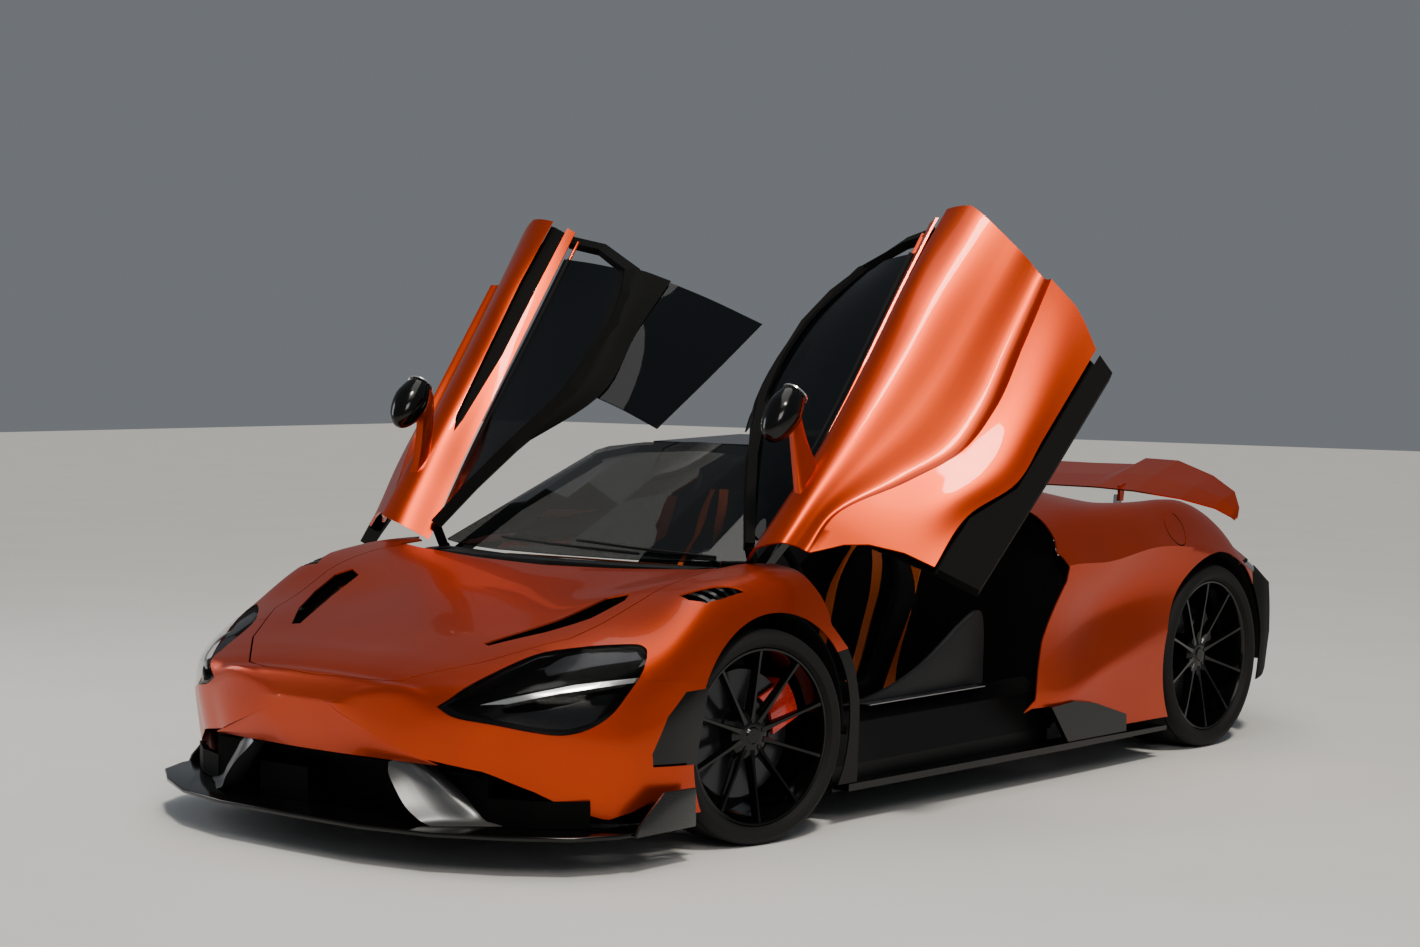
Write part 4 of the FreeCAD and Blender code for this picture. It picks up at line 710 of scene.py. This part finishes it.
FLAP_STATION, FLAP_Z, FLAP_RADIUS = 2393, 837, 60
flap_y = FLAP_STATION - AXLE_STATION
flap_ring = drum(900, 1000, flap_y, FLAP_Z, FLAP_RADIUS + 3)
boolean(flap_ring, drum(890, 1010, flap_y, FLAP_Z, FLAP_RADIUS - 2))
boolean(rear, flap_ring)
GRILLE_X, GRILLE_LOW, GRILLE_HIGH = 290, 390, 640
GRILLE_ROW, GRILLE_COLUMN = 20, 30
CAP_FROM, CAP_TO = 3461, 3468
tail_ring = [(x, z) for x, z in REAR_TABLE[-1][1:-1]] + [(0, REAR_TABLE[-1][-1])]
tail_cap = prism(both_sides(tail_ring), "y", CAP_FROM, CAP_TO)
upper_cap = duplicate(tail_cap, "upper_cap")
boolean(tail_cap, across(tail_room), "INTERSECT")
boolean(upper_cap, across(beside_tail))
rear = joined([rear, upper_cap], "quarter_panels")
opening = ((-GRILLE_X, GRILLE_LOW), (GRILLE_X, GRILLE_LOW), (GRILLE_X, GRILLE_HIGH), (-GRILLE_X, GRILLE_HIGH))
for part in (tail, tail_cap):
    boolean(part, prism(opening, "y", 3430, TAIL_END))
bars = []
for z in range(GRILLE_LOW + 12, GRILLE_HIGH, GRILLE_ROW):
    bars.append(rail(((-GRILLE_X, 3455, z), (0, 3458, z), (GRILLE_X, 3455, z)), 6, 4, "bar", 2))
for x in range(-GRILLE_X + 10, GRILLE_X, GRILLE_COLUMN):
    post = ((x, GRILLE_LOW), (x + 4, GRILLE_LOW), (x + 4, GRILLE_HIGH), (x, GRILLE_HIGH))
    bars.append(prism(post, "y", 3450, 3456))
grille = joined(bars, "tail_grille")
LAMP_LOW, LAMP_HIGH, LAMP_INNER, LAMP_OUTER = 642, 666, 330, 1000
for side in (1, -1):
    tail_band = [(side * LAMP_INNER, LAMP_LOW), (side * LAMP_OUTER, LAMP_LOW), (side * LAMP_OUTER, LAMP_HIGH),
                 (side * LAMP_INNER, LAMP_HIGH)]
    boolean(tail, prism(tail_band, "y", TAIL_STATION + 20, TAIL_END))
tail = joined([tail, tail_cap], "rear_bumper_panel")
finish(rear, ORANGE, "body", ["quarters"])
finish(tail, PANEL_BLACK, "body", ["rear_bumper"])
finish(grille, SATIN_BLACK, "body")
finish(cover, GLOSS_BLACK, "body", ["engine_cover"])

# Doors are drawn shut on the left side and then swung open
HINGE = spot(117.4, 888.8, 1181.1)
HINGE_LINE = Vector((0.5954, -0.6927, -0.4069))
OPENING = math.radians(68.34)
SWING = Matrix.Translation(HINGE) @ Matrix.Rotation(OPENING, 4, HINGE_LINE) @ Matrix.Translation(-HINGE)
DOOR_TABLE = (
    (180, (745, 822), (872, 795), (922, 735), (918, 700), (906, 672), (906, 655), (908, 480), (912, 296)),
    (280, (752, 820), (880, 794), (926, 732), (920, 695), (908, 660), (910, 645), (914, 470), (918, 297)),
    (420, (763, 820), (885, 796), (927, 738), (922, 690), (912, 652), (924, 640), (930, 440), (928, 298)),
    (640, (775, 823), (892, 802), (929, 748), (924, 650), (914, 530), (940, 508), (946, 360), (935, 297)),
    (820, (781, 843), (898, 815), (933, 757), (924, 620), (911, 438), (948, 418), (948, 290), (934, 226)),
    (1000, (788, 868), (905, 832), (938, 766), (926, 610), (912, 430), (953, 404), (948, 290), (934, 230)),
    (1250, (796, 903), (922, 858), (948, 784), (934, 620), (920, 468), (960, 440), (951, 328), (934, 238)),
    (1620, (806, 951), (902, 901), (958, 830), (955, 640), (940, 524), (970, 500), (955, 402), (936, 250)),
)


def swung(obj, side):
    """Swings a shut piece of the left door open, and mirrors it for the right door."""
    obj.data.transform(SWING)
    if side < 0:
        flip_x(obj)


DOOR_SLOT = ((846, 640), (866, 700), (880, 1000), (893, 1300), (892, 1640), (838, 1640), (832, 1300),
             (824, 1000), (838, 700))
BELT_LINE = ((752, 300, 826), (766, 560, 824), (776, 850, 850), (784, 1150, 890), (794, 1450, 930))
RAIL_LINE = ((738, 318, 880), (655, 575, 1010), (578, 840, 1112), (562, 1150, 1138), (600, 1440, 1068))
ROOF_INNER = ((246, 840, 1172), (150, 1160, 1182), (64, 1470, 1168))
ROOF_OUTER = ((535, 850, 1128), (530, 1160, 1150), (505, 1450, 1112))
ROOF_BAND = (
    ((668, 560, 1012), (656, 566, 1022), (640, 572, 1024)),
    ((600, 838, 1106), (548, 842, 1140), (478, 848, 1154)),
    ((584, 1150, 1134), (536, 1155, 1162), (462, 1160, 1172)),
    ((610, 1440, 1066), (548, 1444, 1112), (430, 1450, 1142)),
)
DOOR_SKIN, PANE, BAND = 7.0, 5.0, 4.0
DOOR_TOP = 1200
door_side = [*DOOR_FRONT_EDGE, *reversed(DOOR_REAR_EDGE)]
door_rows = [[(x, station, z) for x, z in row] for station, *row in DOOR_TABLE]


def pane(first, second, swell, name, outside):
    """Bowed glass between two lines; swell moves its middle, as (x, station, z)."""
    rows = []
    for a, b in zip(first, second):
        rows.append([a, tuple((u + v) / 2 + w for u, v, w in zip(a, b, swell)), b])
    return shell(sheet_from(rows, name, 6, 6), PANE, outside)


for side, word in ((1, "left"), (-1, "right")):
    body = "door_" + word
    skin_sheet = sheet_from(door_rows, "door_panel_" + word, 8, 9, creases=(5,))
    skin = shell(skin_sheet, DOOR_SKIN, spot(600, 800, 500))
    boolean(skin, prism(door_side, "x", 600, BEYOND), "INTERSECT")
    slot = patch(skin, "door_slot_" + word, scaled(DOOR_SLOT, 1.03), "z", 740, DOOR_TOP, (-4, 0, -32))
    boolean(skin, prism(DOOR_SLOT, "z", 740, DOOR_TOP))
    side_glass = pane(BELT_LINE, RAIL_LINE, (8, 0, 0), "side_glass_" + word, spot(0, 800, 600))
    roof_glass = pane(ROOF_INNER, ROOF_OUTER, (0, 0, 10), "roof_glass_" + word, spot(0, 1100, 600))
    glass = joined([side_glass, roof_glass], "glass_" + word)
    band = shell(sheet_from(ROOF_BAND, "roof_band_" + word, 5, 6), BAND, spot(0, 1100, 600))
    seal = rail([(x - 14, s, z + 12) for x, s, z in BELT_LINE], 12, 16, "door_seal_" + word, 5, 3)
    for piece in (skin, slot, glass, seal, band):
        swung(piece, side)
    finish(band, PANEL_BLACK, body)
    finish(slot, DEEP_BLACK, body)
    finish(seal, SOFT_BLACK, body)
    finish(glass, ROOF_GLASS, body, ["door_glass_" + word])
    finish(skin, ORANGE, body, ["door_skin_" + word])

# Mirrors and the orange strips along the inner side of the doors
MIRROR_ARM = (
    ((888, 428, 786), (886, 486, 800), (888, 546, 794), (908, 546, 776), (912, 486, 776), (910, 428, 768)),
    ((918, 494, 838), (916, 545, 850), (920, 592, 856), (944, 588, 842), (946, 545, 832), (942, 498, 826)),
    ((970, 580, 906), (968, 620, 918), (972, 656, 926), (996, 652, 914), (998, 618, 902), (994, 584, 896)),
    ((1006, 610, 926), (1004, 640, 934), (1008, 668, 940), (1024, 664, 930), (1026, 640, 922),
     (1022, 614, 918)),
)
INNER_STRIP = ((724, 330, 838), (728, 400, 838), (738, 500, 812), (748, 640, 806), (758, 1000, 856),
               (770, 1300, 902), (778, 1540, 930))
CAP_X, CAP_STATION, CAP_Z = 1032, 592, 934
CAP_HALF_WIDTH, CAP_HALF_LENGTH, CAP_HALF_HEIGHT = 60, 114, 58
CAP_BACK, CAP_TAPER = 0.55, 0.28
MIRROR_STATION, MIRROR_Z, MIRROR_HALF_WIDTH, MIRROR_HALF_HEIGHT = 662, 938, 46, 44
for side, word in ((1, "left"), (-1, "right")):
    body = "door_" + word
    arm = loft(MIRROR_ARM, "mirror_arm_" + word)
    bpy.ops.object.select_all(action="DESELECT")
    bpy.ops.mesh.primitive_uv_sphere_add(segments=48, ring_count=24, radius=1)
    cap = bpy.context.object
    cap.name = "mirror_cap_" + word
    for vertex in cap.data.vertices:
        x, y, z = vertex.co
        flat = 1 - CAP_TAPER * max(0, y)
        back = y if y < CAP_BACK else CAP_BACK + (y - CAP_BACK) * 0.2
        vertex.co = spot(CAP_X + CAP_HALF_WIDTH * x * flat, CAP_STATION + CAP_HALF_LENGTH * back,
                         CAP_Z + CAP_HALF_HEIGHT * z * flat + 8 * y)
    bpy.ops.object.select_all(action="DESELECT")
    bpy.ops.mesh.primitive_cylinder_add(vertices=48, radius=1, depth=0.004)
    mirror_glass = bpy.context.object
    mirror_glass.name = "mirror_glass_" + word
    for vertex in mirror_glass.data.vertices:
        x, y, z = vertex.co
        vertex.co = spot(CAP_X + MIRROR_HALF_WIDTH * x, MIRROR_STATION + z / MM,
                         MIRROR_Z + MIRROR_HALF_HEIGHT * y)
    strip = rail(INNER_STRIP, 10, 46, "door_inner_strip_" + word, 5, 3)
    for piece in (arm, cap, mirror_glass, strip):
        swung(piece, side)
    finish(arm, ORANGE, body, ["door_mirror_" + word])
    finish(cap, GLOSS_BLACK, body)
    finish(mirror_glass, CHROME_WHITE, body)
    finish(strip, ORANGE, body)

# The splitter with its end plates and the two big fins
SPLITTER_PLAN = ((0, -1085), (300, -1080), (540, -1030), (740, -930), (890, -820), (955, -700), (975, -600),
                 (980, -410), (900, -410), (860, -640), (700, -730), (0, -780))
BLADE_LOW, BLADE_HIGH = 112, 125
blade = prism(both_sides(SPLITTER_PLAN), "z", BLADE_LOW, BLADE_HIGH)
blade.name = "splitter_blade"
modify(blade, "BEVEL", width=4 * MM, segments=3)
ENDPLATE = ((-655, 112), (-395, 112), (-395, 224), (-533, 228), (-640, 140))
FIN = (
    ((295, -958, 290), (338, -940, 306), (356, -925, 304), (352, -890, 302), (302, -900, 290)),
    ((312, -974, 262), (358, -938, 282), (398, -918, 278), (394, -872, 276), (322, -896, 260)),
    ((346, -984, 228), (396, -930, 240), (446, -898, 240), (440, -850, 238), (352, -900, 226)),
    ((392, -984, 176), (448, -920, 184), (512, -872, 190), (500, -824, 188), (398, -890, 174)),
    ((432, -966, 138), (500, -900, 142), (566, -846, 150), (548, -800, 150), (440, -872, 136)),
    ((470, -958, 124), (560, -886, 126), (640, -826, 128), (620, -790, 128), (480, -870, 124)),
)
end_plates, fins = [], []
for side in (1, -1):
    plate = prism(ENDPLATE, "x", *one_side(side, 970, 981))
    modify(plate, "BEVEL", width=3 * MM, segments=2)
    end_plates.append(plate)
    fins.append(loft([[(side * x, s, z) for x, s, z in ring] for ring in FIN], "fin", 3, 6))
finish(blade, GLOSS_BLACK, "body", ["splitter"])
MOUTH_BACK = ((-905, -480), (-860, -560), (-700, -700), (-420, -800), (0, -840), (420, -800), (700, -700),
              (860, -560), (905, -480))
back_line = [*MOUTH_BACK, *[(x * 0.98, s + 10) for x, s in reversed(MOUTH_BACK)]]
mouth_back = prism(back_line, "z", BLADE_HIGH + 1, 318)
mouth_back.name = "mouth_back"
finish(mouth_back, DEEP_BLACK, "body")
finish(joined(end_plates, "splitter_end_plates"), CARBON, "body")
finish(joined(fins, "mouth_fins"), SATIN_GREY, "body", degrees=50)

# Liners of the wheel arches
LINER_ROOM, LINER_WALL = 49, 7
LINER_OUTER, LINER_FOOT = 925, 300
BELOW_LINERS = ((-2000, -100), (4000, -100), (4000, LINER_FOOT), (-2000, LINER_FOOT))
liners = []
for side in (1, -1):
    for y, tyre_radius, inner in ((FRONT_AXLE_Y, FRONT_TYRE, 560), (REAR_AXLE_Y, REAR_TYRE, 600)):
        low, high = one_side(side, inner, LINER_OUTER)
        liner = drum(low, high, y, tyre_radius, tyre_radius + LINER_ROOM + LINER_WALL)
        boolean(liner, drum(low - 20, high + 20, y, tyre_radius, tyre_radius + LINER_ROOM))
        boolean(liner, prism(BELOW_LINERS, "x", low - 50, high + 50))
        liners.append(liner)
finish(joined(liners, "arch_liners"), SOFT_BLACK, "body", degrees=40)

# Seats with bolsters, stripes and belts. A row is (station, z, half width, bolster height, depth)
SEAT_ROWS = ((570, 352, 205, 30, 60), (640, 340, 225, 62, 70), (790, 314, 226, 74, 66),
             (950, 292, 225, 78, 60), (1050, 320, 225, 84, 60), (1110, 420, 235, 88, 55),
             (1155, 540, 245, 86, 52), (1200, 660, 250, 80, 50), (1238, 745, 205, 58, 50),
             (1262, 800, 160, 40, 50), (1300, 900, 140, 30, 48), (1325, 962, 110, 14, 40))
BELT = ((600, 1335, 930), (588, 1262, 800), (586, 1180, 600), (592, 1090, 420), (602, 1060, 330))
BOLSTER = 52
STRIPE_LIFT = 12
stripe_parts, belt_parts = [], []
seat_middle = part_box("seats")[1][0] / MM - 250
for side, word in ((1, "left"), (-1, "right")):
    rings, lines = [], ([], [])
    for i, (station, z, half, tall, deep) in enumerate(SEAT_ROWS):
        before, after = SEAT_ROWS[max(i - 1, 0)], SEAT_ROWS[min(i + 1, len(SEAT_ROWS) - 1)]
        run = Vector((after[0] - before[0], after[1] - before[1])).normalized()
        inner = half - BOLSTER
        trough = ((-half + 20, -deep), (half - 20, -deep), (half - 2, 0), (half - 4, tall * 0.8),
                  (half - 22, tall), (inner, tall * 0.72), (inner - 26, 4), (inner / 2, 6), (0, 12),
                  (-inner / 2, 6), (26 - inner, 4), (-inner, tall * 0.72), (22 - half, tall),
                  (4 - half, tall * 0.8), (2 - half, 0))
        rings.append([(side * seat_middle + u, station - run.y * h, z + run.x * h) for u, h in trough])
        if i > 0:
            for line, place in zip(lines, (-1, 1)):
                line.append((side * seat_middle + place * inner * 0.45, station - run.y * STRIPE_LIFT,
                             z + run.x * STRIPE_LIFT))
    cushion = loft(rings, "seat_" + word, 2, 3)
    replaced, slot_name = (["seats"], "trim") if side > 0 else ((), None)
    finish(cushion, SOFT_BLACK, "body", replaced, 60)
    for line in lines:
        stripe_parts.append(rail(line, 34, 5, "stripe", 3))
    belt = [(side * x, station, z) for x, station, z in BELT]
    belt_parts.append(rail(belt, 44, 3, "belt", 6))
finish(joined(stripe_parts, "seat_stripes"), STRIPE, "body")
finish(joined(belt_parts, "seat_belts"), STRIPE, "body")

# Small pieces round the cabin: a line on the dashboard, sill covers, sill strips and wipers
DASH_LINE = ((-600, 452, 762), (-300, 446, 766), (0, 444, 767), (300, 446, 766), (600, 452, 762))
finish(rail(DASH_LINE, 8, 6, "dash_line"), STRIPE, "body")
SILL_COVER = ((520, 348), (700, 362), (860, 396), (1000, 446), (1120, 506), (1230, 566), (1330, 600),
              (1352, 560), (1352, 348))
covers = []
for side in (1, -1):
    sill_cover = prism([tuple(c) for c in through(SILL_COVER, 4)], "x", *one_side(side, 772, 790))
    modify(sill_cover, "BEVEL", width=5 * MM, segments=3)
    covers.append(sill_cover)
finish(joined(covers, "sill_covers"), PANEL_GREY, "body")
strips = [rail(((side * 812, 640, 347), (side * 812, 1300, 347)), 46, 3, "strip", 2) for side in (1, -1)]
finish(joined(strips, "sill_strips"), STEEL, "body")
WIPER_LINES = (((300, 118, 832), (0, 108, 842), (-330, 150, 852)),
               ((560, 190, 832), (320, 130, 846), (40, 112, 862)))
wipers = [rail(line, 14, 8, "wiper", 4, 2) for line in WIPER_LINES]
finish(joined(wipers, "wipers"), SATIN_BLACK, "body")

# Tyres with tread grooves, and their side walls
STEER = math.radians(-9.33)
KINGPIN_INSET = 75
TREAD_GROOVES = (-0.33, -0.12, 0.12, 0.33)
GROOVE_DEPTH = 7


def tyre_profile(width, radius, rim_radius):
    """The section of a tyre as (x, radius), with x from the inner side to the outer one."""
    half = width / 2
    wall = [(-half + 30, rim_radius - 4), (-half + 8, rim_radius + 8), (-half + 1, rim_radius + 22),
            (-half, rim_radius + 30), (-half + 5, radius - 16), (-half + 14, radius - 7),
            (-half + 26, radius - 2)]
    tread = []
    for place in TREAD_GROOVES:
        middle = place * width
        tread += [(middle - 5, radius), (middle - 4, radius - GROOVE_DEPTH),
                  (middle + 4, radius - GROOVE_DEPTH), (middle + 5, radius)]
    bead = (half - 34, rim_radius + 2)
    return wall + tread + [(-x, r) for x, r in reversed(wall)] + [bead, (-bead[0], bead[1])]


DISC_RADIUS, DISC_FROM, DISC_TO, DISC_LIP = 195, -40, -6, 14
SPOKES = 10
BOLT_CIRCLE, BOLT_RADIUS = 44, 6


def wheel_rings(rows, turn_by):
    """Rings of a spoke. Each row has its radius, its width and where it starts and ends along the axle."""
    rings = []
    for r, wide, back, front in rows:
        ring = ((front, -wide * 0.3), (front, wide * 0.3), (front - 8, wide / 2), (back, wide * 0.3),
                (back, -wide * 0.3), (front - 8, -wide / 2))
        rings.append([(x, t * math.cos(turn_by) - r * math.sin(turn_by) + AXLE_STATION,
                       t * math.sin(turn_by) + r * math.cos(turn_by)) for x, t in ring])
    return rings


def wheel_parts(width, radius):
    """The rim with its spokes and bolts, and the brake disc, about the middle of the wheel."""
    half = width / 2
    barrel = turned(((24 - half, radius - 1), (half - 24, radius - 1), (half - 22, radius - 5),
                     (half - 23, radius - 11), (half - 34, radius - 16), (24 - half, radius - 16)), "rim")
    hub = turned(((0, 0.5), (half - 58, 0.5), (half - 58, 22), (half - 63, 27), (half - 64, 58),
                  (half - 74, 74), (0, 74)), "hub")
    parts = [barrel, hub]
    rows = ((45, 27, half - 100, half - 62), (90, 17, half - 92, half - 55), (150, 14, half - 78, half - 45),
            (210, 13, half - 66, half - 35), (radius - 13, 17, half - 56, half - 26))
    for i in range(SPOKES):
        angle = 2 * math.pi * i / SPOKES
        parts.append(loft(wheel_rings(rows, angle), "spoke", 1, 3, False))
        if i % 2 == 0:
            bolt = drum(half - 66, half - 61, 0, 0, BOLT_RADIUS, 12)
            raised = Matrix.Translation(Vector((0, 0, BOLT_CIRCLE * MM)))
            bolt.data.transform(Matrix.Rotation(angle, 4, "X") @ raised)
            parts.append(bolt)
    wheel = joined(parts, "rim")
    face = DISC_RADIUS - DISC_LIP
    disc = turned(((DISC_FROM, 60), (DISC_TO, 60), (DISC_TO, DISC_RADIUS), (DISC_TO - 8, DISC_RADIUS),
                   (DISC_TO - 9, face), (DISC_FROM + 9, face), (DISC_FROM + 8, DISC_RADIUS),
                   (DISC_FROM, DISC_RADIUS)), "disc")
    return wheel, disc


def set_wheel(obj, side, axle, track, radius, steered):
    """Puts a piece of a wheel in its place, turned about the kingpin where the wheel is steered."""
    if side < 0:
        obj.data.transform(Matrix.Rotation(math.pi, 4, "Z"))
    obj.data.transform(Matrix.Translation(Vector((side * track / 2, axle, radius)) * MM))
    if steered:
        pin = Vector((side * (track / 2 - KINGPIN_INSET), axle, 0)) * MM
        steering = Matrix.Rotation(STEER, 4, "Z")
        obj.data.transform(Matrix.Translation(pin) @ steering @ Matrix.Translation(-pin))


WHEELS = (
    ("front_left", 1, FRONT_AXLE_Y, FRONT_TRACK, FRONT_WIDTH, FRONT_TYRE, FRONT_RIM),
    ("front_right", -1, FRONT_AXLE_Y, FRONT_TRACK, FRONT_WIDTH, FRONT_TYRE, FRONT_RIM),
    ("rear_left", 1, REAR_AXLE_Y, REAR_TRACK, REAR_WIDTH, REAR_TYRE, REAR_RIM),
    ("rear_right", -1, REAR_AXLE_Y, REAR_TRACK, REAR_WIDTH, REAR_TYRE, REAR_RIM),
)
for word, side, axle, track, width, radius, rim_radius in WHEELS:
    body = "wheel_" + word
    tyre = turned(tyre_profile(width, radius, rim_radius), "tyre_with_tread")
    rim, disc = wheel_parts(width, rim_radius)
    for piece, start in ((tyre, "tyre_with_tread_"), (rim, "rim_with_spokes_"), (disc, "brake_disc_")):
        piece.name = start + word
        set_wheel(piece, side, axle, track, radius, axle == FRONT_AXLE_Y)
    finish(rim, GLOSS_BLACK, body, ["rim_" + word])
    finish(disc, DARK_CHROME, body)
    finish(tyre, RUBBER, body, ["tyre_" + word])

# Finishes of the solids that stay
FINISHES = {
    "tub": SATIN_BLACK, "roof_frame": GLOSS_BLACK, "windscreen": GLASS, "scuttle": SATIN_BLACK,
    "intake_insert": DEEP_BLACK, "headlamps": GLOSS_BLACK, "luggage_well": SOFT_BLACK, "engine": CAST,
    "diffuser": CARBON, "exhaust": STEEL, "tail_lamps": TAIL_RED, "side_skirts": GLOSS_BLACK,
    "dashboard": SOFT_BLACK, "steering_wheel": SOFT_BLACK, "rear_carriers": STEEL,
    "suspension_arms": STEEL, "wing_stays": STEEL, "wing": ORANGE, "carrier_front_left": RED,
    "carrier_front_right": RED, "door_frame_left": PANEL_BLACK, "door_frame_right": PANEL_BLACK,
}
for name, material in FINISHES.items():
    paint(nodes[name], material)

# Floor and light
bpy.ops.object.select_all(action="DESELECT")
bpy.ops.mesh.primitive_plane_add(size=60, location=(0, 0, 0))
floor = bpy.context.object
floor.name = "floor"
ground = Finish("pale_floor", (0.80, 0.80, 0.78), 0.75)
ground.link(ground.blend(ground.noise(1.5, 4.0), (0.76, 0.76, 0.75), (0.84, 0.84, 0.83)), "Base Color")
paint(floor, ground.material)

world = bpy.data.worlds.new("studio")
bpy.context.scene.world = world
world.use_nodes = True
background = world.node_tree.nodes["Background"]
background.inputs["Color"].default_value = (0.80, 0.86, 0.93, 1)
background.inputs["Strength"].default_value = 0.20


def lamp(name, place, target, size, power, color):
    """A rectangular studio light that looks from its place at its target."""
    data = bpy.data.lights.new(name, "AREA")
    data.shape = "RECTANGLE"
    data.size, data.size_y = size
    data.energy = power
    data.color = color
    obj = bpy.data.objects.new(name, data)
    obj.location = place
    obj.rotation_euler = (Vector(target) - Vector(place)).to_track_quat("-Z", "Y").to_euler()
    bpy.context.scene.collection.objects.link(obj)


lamp("overhead", (0.5, -0.5, 6.0), (0, 0, 0.5), (2.5, 8.0), 130, (1.0, 0.98, 0.95))
lamp("front_key", (5.5, -5.5, 4.5), (0, -1.0, 0.5), (2.0, 2.0), 120, (1.0, 0.95, 0.88))
lamp("left_fill", (-6.0, -3.5, 2.5), (0, -0.5, 0.6), (2.0, 2.5), 70, (0.9, 0.95, 1.0))
SUN_POWER, SUN_SPREAD = 1.9, 8
SUN_FROM = (0.45, -0.30, 0.85)
sun_data = bpy.data.lights.new("sun", "SUN")
sun_data.energy = SUN_POWER
sun_data.angle = math.radians(SUN_SPREAD)
sun_data.color = (1.0, 0.93, 0.80)
sun = bpy.data.objects.new("sun", sun_data)
sun.rotation_euler = Vector(SUN_FROM).to_track_quat("Z", "Y").to_euler()
bpy.context.scene.collection.objects.link(sun)
